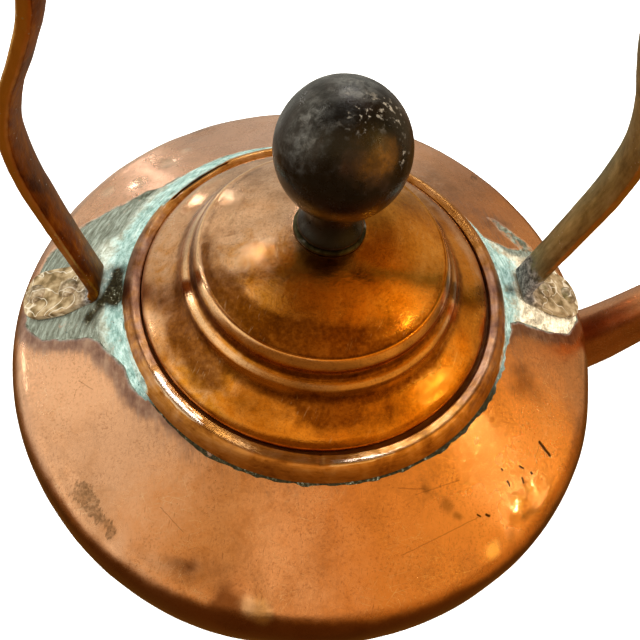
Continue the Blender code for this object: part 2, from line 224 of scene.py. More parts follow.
def grid_faces(rows, columns, wrap_rows, wrap_columns, caps=False):
    """Quads over a grid of points, row by row."""
    faces = []
    for i in range(rows if wrap_rows else rows - 1):
        for k in range(columns if wrap_columns else columns - 1):
            i2, k2 = (i + 1) % rows, (k + 1) % columns
            faces.append((i * columns + k, i * columns + k2, i2 * columns + k2, i2 * columns + k))
    if caps:
        faces.append(tuple(range(columns)))
        faces.append(tuple((rows - 1) * columns + k for k in range(columns)))
    return faces


def spin(outline, steps):
    """Every point of a (radius, height) outline at every step round Z."""
    turn = np.linspace(0, math.tau, steps, endpoint=False)[:, None]
    r, z = outline[:, 0], outline[:, 1]
    return np.stack([r * np.cos(turn), r * np.sin(turn), z + 0 * turn], axis=-1)


def turned(name, outline, material, body, nodes, steps=96, relief=None, sharp=40.0):
    """A solid of revolution from a closed outline. relief gives each point's move outwards."""
    outline = np.array(outline, float)
    ring = np.vstack([outline[-1:], outline, outline[:1]])
    normal = across(ring)[1:-1]
    points = spin(outline, steps)
    if relief is not None:
        points = points + spin(normal, steps) * relief(points)[..., None]
    faces = grid_faces(steps, len(outline), True, True)
    return mesh_object(name, points.reshape(-1, 3), faces, material, body, nodes, sharp)


def shell(name, outside, thickness, material, body, nodes, steps=360, relief=None, sharp=40.0):
    """A bent sheet turned round Z. The outside runs down, and relief moves both faces alike."""
    outside = np.array(outside, float)
    normal = across(outside)
    outline = np.vstack([outside, (outside - normal * thickness)[::-1]])
    points = spin(outline, steps)
    if relief is not None:
        skin = spin(outside, steps)
        move = relief(skin)
        move = np.concatenate([move, move[:, ::-1]], axis=1)
        normals = spin(np.vstack([normal, normal[::-1]]), steps)
        points = points + normals * move[..., None]
    faces = grid_faces(steps, len(outline), True, True)
    return mesh_object(name, points.reshape(-1, 3), faces, material, body, nodes, sharp)


def paint(piece, **layers):
    """Keep values at each vertex for the material: numbers, or functions of the places."""
    places = np.zeros(len(piece.data.vertices) * 3)
    piece.data.vertices.foreach_get("co", places)
    places = places.reshape(-1, 3)
    for name, values in layers.items():
        if callable(values):
            values = values(places)
        layer = piece.data.attributes.new(name, "FLOAT", "POINT")
        layer.data.foreach_set("value", np.broadcast_to(values, len(places)).astype(np.float32))


# ---- Materials -----------------------------------------------------------------------
class Value:
    """A node's output, with arithmetic that adds Math nodes."""

    def __init__(self, nodes, socket):
        self.nodes, self.socket = nodes, socket

    def __add__(self, other):
        return self.nodes.math("ADD", self, other)

    def __sub__(self, other):
        return self.nodes.math("SUBTRACT", self, other)

    def __rsub__(self, other):
        return self.nodes.math("SUBTRACT", other, self)

    def __mul__(self, other):
        return self.nodes.math("MULTIPLY", self, other)

    def clipped(self):
        """The same value, kept in 0..1."""
        self.socket.node.use_clamp = True
        return self


class Nodes:
    """Short calls for the nodes of a tree."""

    def __init__(self, tree):
        self.tree = tree

    def node(self, kind, **settings):
        """A new node with its settings."""
        made = self.tree.nodes.new(kind)
        for key, value in settings.items():
            setattr(made, key, value)
        return made

    def feed(self, socket, value):
        """Link a socket, or set it when the value is a number or a colour."""
        value = value.socket if isinstance(value, Value) else value
        if isinstance(value, bpy.types.NodeSocket):
            self.tree.links.new(value, socket)
        else:
            socket.default_value = value

    def wired(self, node, output, *values):
        """Feed a node's first inputs and give one of its outputs."""
        for socket, value in zip(node.inputs, values):
            self.feed(socket, value)
        return Value(self, node.outputs[output])

    def math(self, work, *values):
        """A Math node of one to three values."""
        return self.wired(self.node("ShaderNodeMath", operation=work), 0, *values)

    def vector(self, work, output, *values):
        """One output of a Vector Math node."""
        return self.wired(self.node("ShaderNodeVectorMath", operation=work), output, *values)

    def between(self, value, low, high, to_low=0.0, to_high=1.0):
        """Smooth step of a value to a new range."""
        node = self.node("ShaderNodeMapRange", interpolation_type="SMOOTHSTEP")
        return self.wired(node, 0, value, low, high, to_low, to_high)

    def mix(self, share, a, b):
        """From colour a to colour b by a share."""
        node = self.node("ShaderNodeMix", data_type="RGBA")
        self.feed(node.inputs["Factor"], share)
        for socket, value in ((node.inputs[6], a), (node.inputs[7], b)):
            self.feed(socket, (*value, 1.0) if isinstance(value, tuple) else value)
        return Value(self, node.outputs[2])


class Finish(Nodes):
    """A Principled material with calls for its patterns."""

    def __init__(self, name, roughness=0.4, metallic=1.0):
        self.material = bpy.data.materials.new(name)
        self.material.use_nodes = True
        super().__init__(self.material.node_tree)
        self.shader = self.tree.nodes["Principled BSDF"]
        self.shader.inputs["Roughness"].default_value = roughness
        self.shader.inputs["Metallic"].default_value = metallic
        self.place = self.node("ShaderNodeTexCoord").outputs["Object"]

    def noise(self, size_mm, detail=3.0, rough=0.55, warp=0.0, at=None):
        """Noise whose largest lumps are about size_mm wide."""
        made = self.node("ShaderNodeTexNoise")
        self.feed(made.inputs["Vector"], at or self.place)
        made.inputs["Scale"].default_value = 1.0 / (size_mm * MM)
        made.inputs["Detail"].default_value = detail
        made.inputs["Roughness"].default_value = rough
        made.inputs["Distortion"].default_value = warp
        return Value(self, made.outputs["Fac"])

    def cells(self, size_mm):
        """Distance from the middles of cells about size_mm wide."""
        made = self.node("ShaderNodeTexVoronoi", feature="F1")
        self.feed(made.inputs["Vector"], self.place)
        made.inputs["Scale"].default_value = 1.0 / (size_mm * MM)
        return Value(self, made.outputs["Distance"])

    def dots(self, size_mm, inner, outer):
        """1 in the middle of each cell, 0 away from it."""
        return self.between(self.cells(size_mm), inner, outer, 1.0, 0.0)

    def stretch(self, scale, turn=0.0):
        """Coordinates turned about Z by degrees, then scaled along the turned axes."""
        made = self.node("ShaderNodeMapping", vector_type="TEXTURE")
        self.feed(made.inputs["Vector"], self.place)
        made.inputs["Scale"].default_value = [1 / share for share in scale]
        made.inputs["Rotation"].default_value = (0, 0, math.radians(turn))
        return Value(self, made.outputs["Vector"])

    def axes(self):
        """The object coordinates one by one."""
        split = self.node("ShaderNodeSeparateXYZ")
        self.feed(split.inputs[0], self.place)
        return [Value(self, socket) for socket in split.outputs]

    def joined(self, x, y, z):
        """Coordinates made of three numbers or values."""
        return self.wired(self.node("ShaderNodeCombineXYZ"), 0, x, y, z)

    def flat_place(self, waver_mm=0.5):
        """Object coordinates seen from above, wavering a little."""
        moved = []
        for axis, size in zip(self.axes()[:2], (2.2, 2.6)):
            shake = self.noise(size, 2, 0.6) - 0.5
            moved.append(self.math("MULTIPLY_ADD", shake, waver_mm * 2 * MM, axis))
        return self.joined(moved[0], moved[1], 0.0)

    def mark(self, at, start_mm, end_mm, width_mm, soft=0.35):
        """1 on a short line seen from above, 0 beyond its width."""
        start = Vector((start_mm[0] * MM, start_mm[1] * MM, 0))
        run = Vector((end_mm[0] * MM, end_mm[1] * MM, 0)) - start
        away = self.vector("SUBTRACT", 0, at, start)
        share = self.vector("DOT_PRODUCT", "Value", away, run / run.length_squared) * 1.0
        reach = self.node("ShaderNodeVectorMath", operation="SCALE")
        reach.inputs[0].default_value = run
        self.feed(reach.inputs["Scale"], share.clipped())
        rest = self.vector("SUBTRACT", 0, away, reach.outputs[0])
        length = self.vector("LENGTH", "Value", rest)
        return self.between(length, width_mm * soft * MM, width_mm * MM, 1.0, 0.0)

    def rings(self):
        """Coordinates round Z: azimuth in radians, radius, height."""
        x, y, z = self.axes()
        turn = self.math("ARCTAN2", y, x)
        return turn, self.math("POWER", x * x + y * y, 0.5), z

    def colours(self, value, *stops):
        """Colour ramp: stops are (position, (r, g, b))."""
        made = self.node("ShaderNodeValToRGB")
        elements = made.color_ramp.elements
        while len(elements) < len(stops):
            elements.new(0.5)
        for element, (position, colour) in zip(elements, stops):
            element.position = position
            element.color = (*colour, 1.0)
        return self.wired(made, 0, value)

    def painted(self, name):
        """A value kept at the vertices."""
        return Value(self, self.node("ShaderNodeAttribute", attribute_name=name).outputs["Fac"])

    def bump(self, height, depth_mm, under=None):
        """A normal bent by a height, over another bump if there is one."""
        made = self.node("ShaderNodeBump")
        made.inputs["Distance"].default_value = depth_mm * MM
        self.feed(made.inputs["Height"], height)
        if under is not None:
            self.feed(made.inputs["Normal"], under)
        return Value(self, made.outputs["Normal"])

    def set(self, colour=None, roughness=None, metallic=None, normal=None):
        """Feed the shader and give the material."""
        for key, value in (("Base Color", colour), ("Roughness", roughness),
                           ("Metallic", metallic), ("Normal", normal)):
            if value is not None:
                self.feed(self.shader.inputs[key], value)
        return self.material


def copper(name, orange, rosy, polish, painted=()):
    """Old copper: softly clouded colour, hand-rubbed scratches, fine specks and pits.

    painted lists which vertex values the pieces hold: scorch, tarnish (with painted shade at the rim),
    patina, the pink tint that is painted light, and stain, which comes with rubbed spots of painted
    highlight and with the shoulder's own marks.
    """
    f = Finish(name)
    cloud = f.noise(42, 4, 0.5, 0.5)
    patch = f.noise(9, 4, 0.6, 0.4)
    fine = f.noise(1.4, 3, 0.6)
    grain = f.noise(0.45, 2, 0.6)
    tone = cloud * 0.5 + (patch * 0.28 + fine * 0.22)
    deep, pale = (tuple(channel * scale for channel in orange) for scale in (0.72, 1.12))
    colour = f.colours(tone, (0.36, deep), (0.50, orange), (0.64, pale))
    # painted light: a pinker copy of the colour for the side under the cooler light
    if "rosy" in painted:
        deep, pale = (tuple(channel * scale for channel in rosy) for scale in (0.80, 1.1))
        pink = f.colours(tone, (0.36, deep), (0.50, rosy), (0.64, pale))
        share = f.painted("rosy") + (patch - 0.5) * 0.7
        colour = f.mix(f.between(share, 0.25, 0.85), colour, pink)

    swirl = f.noise(26, 2, 0.5)
    hair = []
    for turn, width in ((24, 0.34), (-38, 0.36), (71, 0.30), (-80, 0.34), (-8, 0.30)):
        lines = f.stretch((1.0, 0.03, 0.3), turn)
        hair.append(f.between(f.noise(width, 2, 0.5, 0.6, lines), 0.62, 0.72))
    scratches = (hair[0] + hair[1] + (hair[2] + hair[3])) * f.between(swirl, 0.42, 0.6)
    specks = f.dots(2.3, 0.03, 0.10) * f.between(f.noise(11, 3), 0.48, 0.58)
    flecks = f.dots(3.1, 0.02, 0.07)
    colour = f.mix((scratches * 0.36).clipped(), colour, (0.95, 0.76, 0.6))
    colour = f.mix(hair[4] * f.between(patch, 0.45, 0.6) * 0.55, colour, (0.24, 0.1, 0.04))
    colour = f.mix((specks * 0.8).clipped(), colour, (0.1, 0.035, 0.015))
    colour = f.mix(flecks * 0.35, colour, (0.98, 0.8, 0.62))
    freckle = f.between(f.noise(0.95, 3, 0.75), 0.50, 0.66)
    freckle = freckle * f.between(f.noise(17, 3, 0.6), 0.38, 0.62, 0.12, 0.44)
    colour = f.mix(freckle, colour, (0.28, 0.11, 0.04))

    rough = f.between(cloud, 0.35, 0.65, polish - 0.03, polish + 0.05) + (patch - 0.5) * 0.12
    edge = (f.noise(5.0, 5, 0.62) - 0.5) * 0.9
    if "scorch" in painted:
        brushed = f.noise(1.5, 4, 0.65, 0.2, f.stretch((1.0, 0.16, 0.5), 6))
        uneven = edge * 0.8 + (brushed - 0.5) * 1.5
        heat = f.between(f.painted("scorch") + uneven, 0.1, 1.15)
        stain = f.colours(f.noise(5.5, 5, 0.65) * 0.6 + brushed * 0.4, (0.38, (0.15, 0.085, 0.085)),
                          (0.5, (0.29, 0.185, 0.17)), (0.62, (0.46, 0.33, 0.29)))
        colour = f.mix(heat * 0.9, colour, stain)
        rough = rough + heat * 0.08
    if "tarnish" in painted:
        # tarnish; on the shoulder's rim and along its front creases this is also painted shade
        dull = f.between(f.painted("tarnish") + edge * 0.5, 0.25, 0.85)
        colour = f.mix(dull * 0.85, colour, (0.17, 0.06, 0.016))
        rough = rough + dull * 0.06
    if "stain" in painted:
        strokes = f.noise(2.0, 3, 0.6, 0.0, f.stretch((1.0, 0.22, 0.5), -27))
        broken = (strokes - 0.5) * 1.8
        dried = f.between(f.painted("stain") + broken, 0.5, 0.74)
        dried = dried * f.between(f.noise(1.6, 4, 0.7), 0.34, 0.62, 0.4, 1.0)
        colour = f.mix(dried * 0.66, colour, (0.11, 0.072, 0.038))
        rough = rough + dried * 0.12
        colour, rough, gouged = shoulder_marks(f, colour, rough)
        burnished = f.between(f.painted("burnished") + edge * 1.2, 0.2, 1.0)
        # painted highlight: paler copper on the rubbed dents
        colour = f.mix(burnished * 0.45, colour, (0.98, 0.77, 0.62))
        rough = rough - burnished * 0.14
    metal = 1.0
    if "patina" in painted:
        crust = f.between(f.painted("patina") + edge * 0.9, 0.34, 0.7)
        green = f.colours(f.noise(3.2, 4, 0.7), (0.38, (0.030, 0.030, 0.018)),
                          (0.5, (0.070, 0.080, 0.055)), (0.64, (0.18, 0.21, 0.165)))
        colour = f.mix(crust, colour, green)
        rough = (rough + crust * 0.4).clipped()
        metal = 1.0 - crust * 0.85
    height = f.noise(7, 3, 0.5) + scratches * -0.04 - specks * 0.1
    if "stain" in painted:
        height = height - gouged * 0.8
    normal = f.bump(height, 0.16, f.bump(grain, 0.012))
    return f.set(colour, rough, metal, normal)


# Marks on the shoulder in mm seen from above: start, end, width.
PITS = (((84.2, -65.7), (88.0, -70.5), 0.80), ((65.1, -75.8), (65.3, -76.1), 0.42),
        ((73.3, -74.8), (74.6, -75.4), 0.36), ((78.2, -76.9), (78.5, -77.2), 0.50),
        ((67.1, -80.0), (67.8, -81.6), 0.46), ((73.7, -79.0), (74.2, -80.4), 0.44),
        ((56.8, -91.0), (58.0, -91.4), 0.55), ((53.2, -91.0), (54.4, -91.6), 0.34))
SCRATCHES = (((24.5, -102.5), (54.5, -91.4), 0.26), ((23.5, -81.8), (33.5, -82.3), 0.32),
             ((80.5, -71.8), (83.5, -67.4), 0.24), ((30.0, -84.0), (47.0, -79.5), 0.22),
             ((-58.0, -84.0), (-50.0, -92.0), 0.22), ((-92.0, -38.0), (-86.0, -42.0), 0.26))
# Dark patches; the last one is painted shade beside a dent.
SMUDGES = (((41.0, -87.3), (42.0, -88.2), 3.4), ((44.6, -90.8), (46.0, -91.4), 2.0),
           ((33.0, -82.0), (34.0, -82.6), 2.2), ((-96.0, 31.0), (-92.0, 33.0), 1.6),
           ((73.0, -92.0), (78.0, -89.5), 2.6))


def shoulder_marks(f, colour, rough):
    """A gouge and pits with dark bottoms, thin scratches, small dark patches and a patch of painted
    shade beside a dent.
    """
    at = f.flat_place(0.35)

    def together(marks, soft):
        total = 0.0
        for start, end, width in marks:
            total = f.math("MAXIMUM", total, f.mark(at, start, end, width, soft))
        return total

    pits, scratches = together(PITS, 0.5), together(SCRATCHES, 0.2)
    smudges = together(SMUDGES, 0.05)
    colour = f.mix(smudges * 0.55, colour, (0.16, 0.075, 0.03))
    colour = f.mix(scratches * 0.42, colour, (0.16, 0.06, 0.025))
    colour = f.mix(pits * 0.93, colour, (0.035, 0.012, 0.008))
    return colour, rough + pits * 0.2, pits


def lid_copper():
    """Spun copper: orange-gold, fine turning lines, brown where polish can't reach and in patches of
    painted shade, pinker towards the back left as painted light, ridges paled into a painted highlight.
    """
    f = Finish("lid_copper_finish")
    turn, radius, height = f.rings()
    lathe = f.joined(turn * 0.0015, radius, height)
    lines = f.noise(0.32, 3, 0.7, 0.0, lathe)
    bands = f.noise(2.4, 2, 0.5, 0.0, lathe)
    cloud = f.noise(26, 4, 0.6, 0.8)
    fine = f.noise(1.6, 4, 0.7)
    patch = f.noise(8, 5, 0.62, 0.6)
    tone = cloud * 0.45 + patch * 0.25
    tone = tone + (fine * 0.2 + bands * 0.1)
    colour = f.colours(tone, (0.37, (0.44, 0.150, 0.010)), (0.49, (0.68, 0.28, 0.030)),
                       (0.62, (0.84, 0.42, 0.10)))
    # painted light: a pinker copy of the colour for the side under the cooler light
    pink = f.colours(tone, (0.37, (0.60, 0.33, 0.19)), (0.49, (0.73, 0.44, 0.27)),
                     (0.62, (0.84, 0.55, 0.37)))
    share = f.painted("rosy") + (patch - 0.5) * 1.2
    colour = f.mix(f.between(share, 0.3, 0.9), colour, pink)
    edge = (f.noise(4.0, 5, 0.65) - 0.5) * 0.9
    # tarnish, with painted shade in some patches
    dull = f.between(f.painted("tarnish") + edge * 0.9, 0.25, 0.95)
    stained = f.colours(patch * 0.5 + fine * 0.5, (0.38, (0.075, 0.016, 0.0)),
                        (0.5, (0.16, 0.044, 0.001)), (0.62, (0.3, 0.105, 0.01)))
    colour = f.mix(dull * 0.9, colour, stained)
    # painted highlight: paler copper on the ridges and the brim's edge
    rubbed = f.between(f.painted("ridge") + edge * 0.5, 0.35, 0.8)
    colour = f.mix(rubbed * 0.78, colour, (0.94, 0.64, 0.41))
    streaks = f.between(f.noise(0.8, 3, 0.6, 0.3, f.stretch((1.0, 0.08, 0.4), -24)), 0.60, 0.75)
    streaks = streaks * f.between(f.noise(18, 2), 0.46, 0.6)
    colour = f.mix(streaks * 0.3, colour, (0.95, 0.72, 0.48))
    specks = f.dots(2.2, 0.02, 0.12) * f.between(f.noise(7, 2), 0.52, 0.62)
    colour = f.mix((specks * 0.6).clipped(), colour, (0.12, 0.05, 0.02))
    rough = f.between(cloud, 0.35, 0.65, 0.12, 0.21) + f.painted("matte") * 0.2
    rough = rough + dull * 0.16 + (fine - 0.5) * 0.14
    freckle = f.between(f.noise(0.9, 3, 0.75), 0.51, 0.66) * 0.34
    colour = f.mix(freckle, colour, (0.22, 0.085, 0.02))
    normal = f.bump(lines, 0.02, f.bump(patch, 0.12))
    return f.set(colour, rough, None, normal)


def strap_brass(name, tint):
    """Tarnished brass strap: olive brown, pale specks, rubbed bright edges, soldered feet."""
    f = Finish(name)
    cloud = f.noise(14, 4, 0.6, 0.5)
    streaks = f.noise(2.2, 4, 0.6, 0.2, f.stretch((1.0, 1.0, 0.25)))
    tone = cloud * 0.6 + streaks * 0.4
    colour = f.colours(tone, (0.36, tint[0]), (0.5, tint[1]), (0.64, tint[2]))
    edge = (f.noise(3.2, 4, 0.6) - 0.5) * 0.8
    rubbed = f.between(f.painted("edge") + edge * 0.6, 0.55, 1.0)
    colour = f.mix(rubbed * 0.8, colour, (0.78, 0.48, 0.16))
    specks = f.dots(1.5, 0.05, 0.22) * f.between(f.noise(6, 2), 0.55, 0.62)
    colour = f.mix((specks * 0.8).clipped(), colour, (0.7, 0.68, 0.58))
    cream = f.colours(f.noise(4.0, 3, 0.5), (0.34, (0.15, 0.10, 0.04)), (0.5, (0.36, 0.26, 0.14)),
                      (0.66, (0.56, 0.45, 0.29)))
    swirl = f.math("ABSOLUTE", f.noise(9.0, 1, 0.3, 1.2) - 0.5)
    ridges = f.between(swirl, 0.006, 0.032, 1.0, 0.0)
    cream = f.mix(ridges * 0.75, cream, (0.88, 0.8, 0.64))
    soldered = f.between(f.painted("solder") + edge * 0.8, 0.4, 0.7)
    grey = f.colours(f.noise(2.0, 5, 0.7), (0.38, (0.055, 0.050, 0.048)),
                     (0.50, (0.21, 0.20, 0.195)), (0.62, (0.55, 0.53, 0.51)))
    colour = f.mix(soldered, colour, f.mix(f.painted("foot"), grey, cream))
    rough = f.between(tone, 0.35, 0.65, 0.42, 0.56) + soldered * 0.12 - rubbed * 0.15
    metal = 1.0 - soldered * 0.35
    pits = f.noise(2.4, 4, 0.65) + soldered * f.noise(1.1, 3, 0.6)
    carved = ridges * (soldered * f.painted("foot"))
    pits = pits + carved * 1.2
    return f.set(colour, rough, metal, f.bump(pits, 0.22))


def crust_finish():
    """Soft solder under verdigris: cream and grey, mint to teal in the corners, dark pits."""
    f = Finish("crust_finish", 0.8, 0.0)
    f.shader.inputs["Specular IOR Level"].default_value = 0.3
    patch = f.noise(5.5, 4, 0.65, 0.6)
    fine = f.noise(1.3, 4, 0.7)
    grain = f.noise(0.5, 2, 0.6)
    drawn = f.noise(1.3, 4, 0.65, 0.4, f.stretch((1.0, 0.22, 0.6), -20))
    turn, radius, height = f.rings()
    swept = f.noise(1.5, 4, 0.65, 0.5, f.joined(turn * 0.028, radius, height))
    tone = patch * 0.5 + (fine * 0.28 + drawn * 0.22)
    cream = f.colours(tone, (0.34, (0.14, 0.11, 0.065)), (0.46, (0.33, 0.27, 0.18)),
                      (0.56, (0.71, 0.61, 0.44)), (0.68, (0.88, 0.79, 0.62)))
    grey = f.colours(tone, (0.34, (0.10, 0.10, 0.065)), (0.46, (0.24, 0.25, 0.19)),
                     (0.56, (0.45, 0.48, 0.41)), (0.68, (0.68, 0.71, 0.65)))
    colour = f.mix(f.between(f.axes()[0], -20 * MM, 20 * MM), grey, cream)
    streaky = tone * 0.6 + swept * 0.4
    mint = f.colours(streaky, (0.34, (0.030, 0.062, 0.048)), (0.45, (0.135, 0.225, 0.195)),
                     (0.56, (0.32, 0.425, 0.385)), (0.68, (0.60, 0.68, 0.63)))
    share = f.between(f.painted("teal") + (patch - 0.5) * 1.5, 0.25, 0.75)
    colour = f.mix(share, colour, mint)
    film = f.colours(drawn, (0.34, (0.065, 0.068, 0.048)), (0.50, (0.120, 0.130, 0.100)),
                     (0.66, (0.21, 0.235, 0.19)))
    thin = f.painted("film") + (fine - 0.5) * 0.7
    colour = f.mix(f.between(thin, 0.2, 0.85), colour, film)
    # near black: deposits in the seams, and painted shade in the hollows by the heels
    dirt = f.colours(fine * 0.7 + patch * 0.3, (0.42, (0.006, 0.005, 0.002)),
                     (0.54, (0.018, 0.014, 0.005)), (0.61, (0.085, 0.085, 0.055)),
                     (0.66, (0.42, 0.4, 0.32)))
    colour = f.mix(f.painted("grime"), colour, dirt)
    brown = f.between(f.noise(4.1, 4, 0.7), 0.60, 0.72)
    colour = f.mix(brown * 0.5, colour, (0.24, 0.13, 0.08))
    pits = f.dots(1.7, 0.08, 0.24) * f.between(f.noise(5, 2), 0.5, 0.6)
    colour = f.mix(pits * 0.8, colour, (0.03, 0.06, 0.05))
    height = fine * 0.8 + grain * 0.35 + drawn * 0.5 - pits * 0.5
    rough = f.between(fine, 0.3, 0.7, 0.62, 0.9)
    return f.set(colour, rough, None, f.bump(height, 0.5))


def black_wood(name):
    """Turned hardwood, blackened and polished by hands: grey with wear and a painted sheen, brown
    partly with a painted reflection of the copper, and pale specks.
    """
    f = Finish(name, 0.35, 0.0)
    f.shader.inputs["Specular IOR Level"].default_value = 0.38
    cloud = f.noise(16, 5, 0.6, 0.7)
    fine = f.noise(1.1, 4, 0.7)
    wipe = f.noise(3.0, 4, 0.6, 0.3, f.stretch((0.45, 1.0, 1.0), 20))
    colour = f.colours(cloud, (0.35, (0.0010, 0.0008, 0.0006)), (0.52, (0.003, 0.0018, 0.001)),
                       (0.68, (0.010, 0.004, 0.002)))
    blotch = (f.noise(7, 5, 0.7) - 0.5) * 1.2
    mottle = f.between(f.noise(2.6, 5, 0.72, 0.4), 0.36, 0.66, 0.12, 1.0)
    brown = f.between(f.painted("brown") + blotch, 0.1, 1.3)
    brown = brown * f.between(mottle, 0.0, 1.0, 0.45, 1.0)
    # partly painted reflection: brown on the front right where the ball faces the copper
    colour = f.mix(brown * 0.9, colour, (0.105, 0.036, 0.003))
    streaked = blotch + (wipe - 0.5) * 1.0
    worn = f.between(f.painted("worn") + streaked * 0.8, 0.1, 1.2) * mottle
    # painted sheen: pale grey wear where the light catches the ball
    colour = f.mix(worn * 0.9, colour, (0.155, 0.15, 0.132))
    specks = (f.between(f.noise(2.0, 3, 0.62), 0.55, 0.68)
              * (f.painted("specks") + worn * 0.3)).clipped()
    colour = f.mix((specks * 0.75).clipped(), colour, (0.36, 0.31, 0.24))
    rough = f.between(f.noise(6, 4, 0.6), 0.35, 0.65, 0.22, 0.40) + worn * 0.12
    grain = f.noise(0.9, 3, 0.6, 0.3, f.stretch((1.0, 1.0, 0.2)))
    return f.set(colour, rough, None, f.bump(grain + fine, 0.06))


def iron():
    """Dull iron with rust in patches."""
    f = Finish("iron_finish", 0.55, 0.9)
    rust = f.between(f.noise(3.0, 5, 0.7), 0.5, 0.66)
    colour = f.mix(rust, (0.09, 0.085, 0.08), (0.20, 0.085, 0.04))
    return f.set(colour, f.between(rust, 0, 1, 0.45, 0.8), None, f.bump(f.noise(1.4, 4, 0.7), 0.12))


# ---- Body ----------------------------------------------------------------------------
def shoulder_z(radius):
    """Height of the shoulder's outside on its slope, which starts beside the collar's foot."""
    return LID_Z - 4.4 * MM - math.tan(SLOPE) * (radius - 79.9 * MM)


# Dents in the shoulder: azimuth, radius, depth and width in mm.
DENTS = (
    (143.3, 102.6, 0.45, 6.0), (132.7, 102.4, 0.50, 6.4), (148.0, 114.5, 0.45, 7.0),
    (120.0, 116.0, 0.80, 9.0), (-46.3, 113.4, 0.45, 3.2),
    (-50.6, 112.4, 0.45, 3.4), (-53.5, 119.0, 0.90, 5.0), (-59.3, 117.8, 0.60, 4.4),
    (-66.0, 112.0, 0.40, 10.0), (-103.6, 118.8, 0.75, 5.4), (-113.3, 107.6, 0.18, 7.0),
    (-130.2, 119.4, 0.70, 5.5), (-140.0, 110.0, 0.30, 12.0), (-148.0, 118.0, 0.50, 7.0),
    (62.0, 109.0, 0.50, 8.0), (28.0, 117.0, 0.60, 8.0), (84.0, 116.0, 0.50, 9.0),
)
# Long creases: start and end in mm seen from above, depth and width.
CREASES = (
    ((-72.0, -93.0), (-48.0, -101.0), 0.30, 3.4), ((-44.0, -99.0), (-29.0, -106.0), 0.20, 4.2),
    ((-94.0, -72.0), (-82.0, -86.0), 0.40, 3.4),
    ((-62.0, -106.0), (-40.0, -115.0), -0.35, 4.5), ((20.0, -113.0), (45.0, -106.0), 0.22, 4.5),
)
# Where a dent's floor or a rim has been rubbed bright, paled into a painted highlight: azimuth, radius
# and size in mm.
BURNISHED = (
    (-46.6, 112.9, 2.8), (-50.9, 111.7, 2.8), (-52.0, 112.6, 2.4), (-59.5, 117.8, 2.8),
    (-61.0, 118.4, 2.4), (-103.6, 118.0, 4.2), (-101.0, 119.5, 3.4),
    (143.3, 102.6, 5.0), (132.7, 102.4, 5.4), (148.0, 114.0, 4.6), (126.0, 104.5, 3.4),
)


def shoulder_relief(points):
    """Hand-raised unevenness: broad waves, dents, and a rim that isn't quite round."""
    radius = polar(points)[0]
    free = ramp(82, 92, radius)
    waves = 0.42 * lumps(points, 45, 3, 2) + 0.12 * lumps(points, 13, 7, 3)
    rim = 0.65 * lumps(points, 38, 21, 2) * ramp(108, 122, radius)
    dents = sum(depth * near(points, turn, place, width) for turn, place, depth, width in DENTS)
    creases = sum(depth * near_line(points, start, end, width)
                  for start, end, depth, width in CREASES)
    return (waves * 0.7 + rim - (dents + creases)) * free * MM


def burnished_mask(points):
    """Bright copper on the floors of dents and on rubbed parts of the rim, paled into a painted
    highlight.
    """
    spots = sum(near(points, turn, place, size) for turn, place, size in BURNISHED)
    return np.clip(spots, 0, 1.1)


def scorch_mask(points):
    """Purple-brown heat stain below the soldered feet and beside the collar."""
    radius, azimuth = polar(points)
    front = ramp(10 * MM, -14 * MM, points[..., 1])
    mask = 1.15 * bell(run_mm(points), -2.2, 4.4) * (0.22 + 0.95 * front)
    near_collar = np.exp(-np.maximum(radius - 80, 0) / 4.5)
    mask += near_collar * 1.15 * bell(azimuth, -134, 13)
    mask += near_collar * 0.40 * bell(azimuth, -100, 22)
    mask += 0.45 * near(points, 22, 96, 14) + 0.30 * near_line(points, (66, 52), (92, 40), 7)
    mask += 0.45 * near_line(points, (78, -24), (80, -38), 5)
    return np.clip(mask, 0, 1.2)


def tarnish_mask(points):
    """Brown at the rounded rim, deeper along the front: tarnish with painted shade for the rim's dark
    reflection. Painted shade along two creases at the front, and tarnish in a few low patches.
    """
    radius, azimuth = polar(points)
    # painted shade: the rim's brown band widens towards the front
    front = bell(azimuth, -100, 46)
    start = 122.6 - 4.6 * front + 2.8 * lumps(points, 30, 26, 3)
    rim = 0.95 * ramp(0, 6.5, radius - start)
    # painted shade along two creases at the front
    low = 0.12 * near_line(points, (-42, -96), (-46, -104), 7.0)
    low += 0.45 * near_line(points, (-68, -95), (-48, -102), 2.6)
    low += 0.70 * near_line(points, (-36, -114), (-22, -119), 4.0)
    low += 0.3 * near(points, -107, 112, 7) + 0.35 * near(points, -112, 106, 17)
    low += 0.55 * near(points, 118, 121, 12) + 0.40 * near(points, -30, 91, 13)
    low += 0.32 * near_line(points, (82, -38), (92, -54), 6) + 0.5 * near(points, -56, 118, 4)
    return np.clip(rim + low * (0.75 + 0.7 * lumps(points, 13, 6, 3)), 0, 1.2)


# Dried drops on the shoulder: azimuth, radius and size in mm, share.
STAINS = ((-138.2, 115.4, 4.4, 1.0), (-135.6, 116.0, 3.9, 0.95), (-132.6, 116.6, 3.1, 0.8),
          (-129.8, 117.2, 3.0, 0.85), (41, 116, 4.5, 0.7))


def stain_mask(points):
    """Where dark liquid has dried on the shoulder."""
    spots = sum(share * near(points, azimuth, radius, size) for azimuth, radius, size, share in STAINS)
    return np.clip(spots, 0, 1.2)


def rosy_mask(points):
    """Painted light: pinker copper at the left and back and oranger at the front and right, for the
    colour of the light from each side.
    """
    azimuth = polar(points)[1]
    return 0.5 + 0.5 * np.cos(np.radians(azimuth - 160)) + 0.25 * lumps(points, 50, 23, 2)


def wall_relief(points):
    """Unevenness of the side wall, none where it is lapped under the shoulder."""
    free = ramp(88 * MM, 80 * MM, points[..., 2])
    return (0.45 * lumps(points, 48, 11, 2) + 0.10 * lumps(points, 12, 5, 2)) * free * MM


# The side wall's outside from under the shoulder to the base: radius and height.
WALL_MM = ((126.3, 90.7), (125.6, 79.0), (123.8, 64.0), (120.5, 46.0), (115.8, 26.0),
           (111.0, 11.0), (107.8, 3.0))


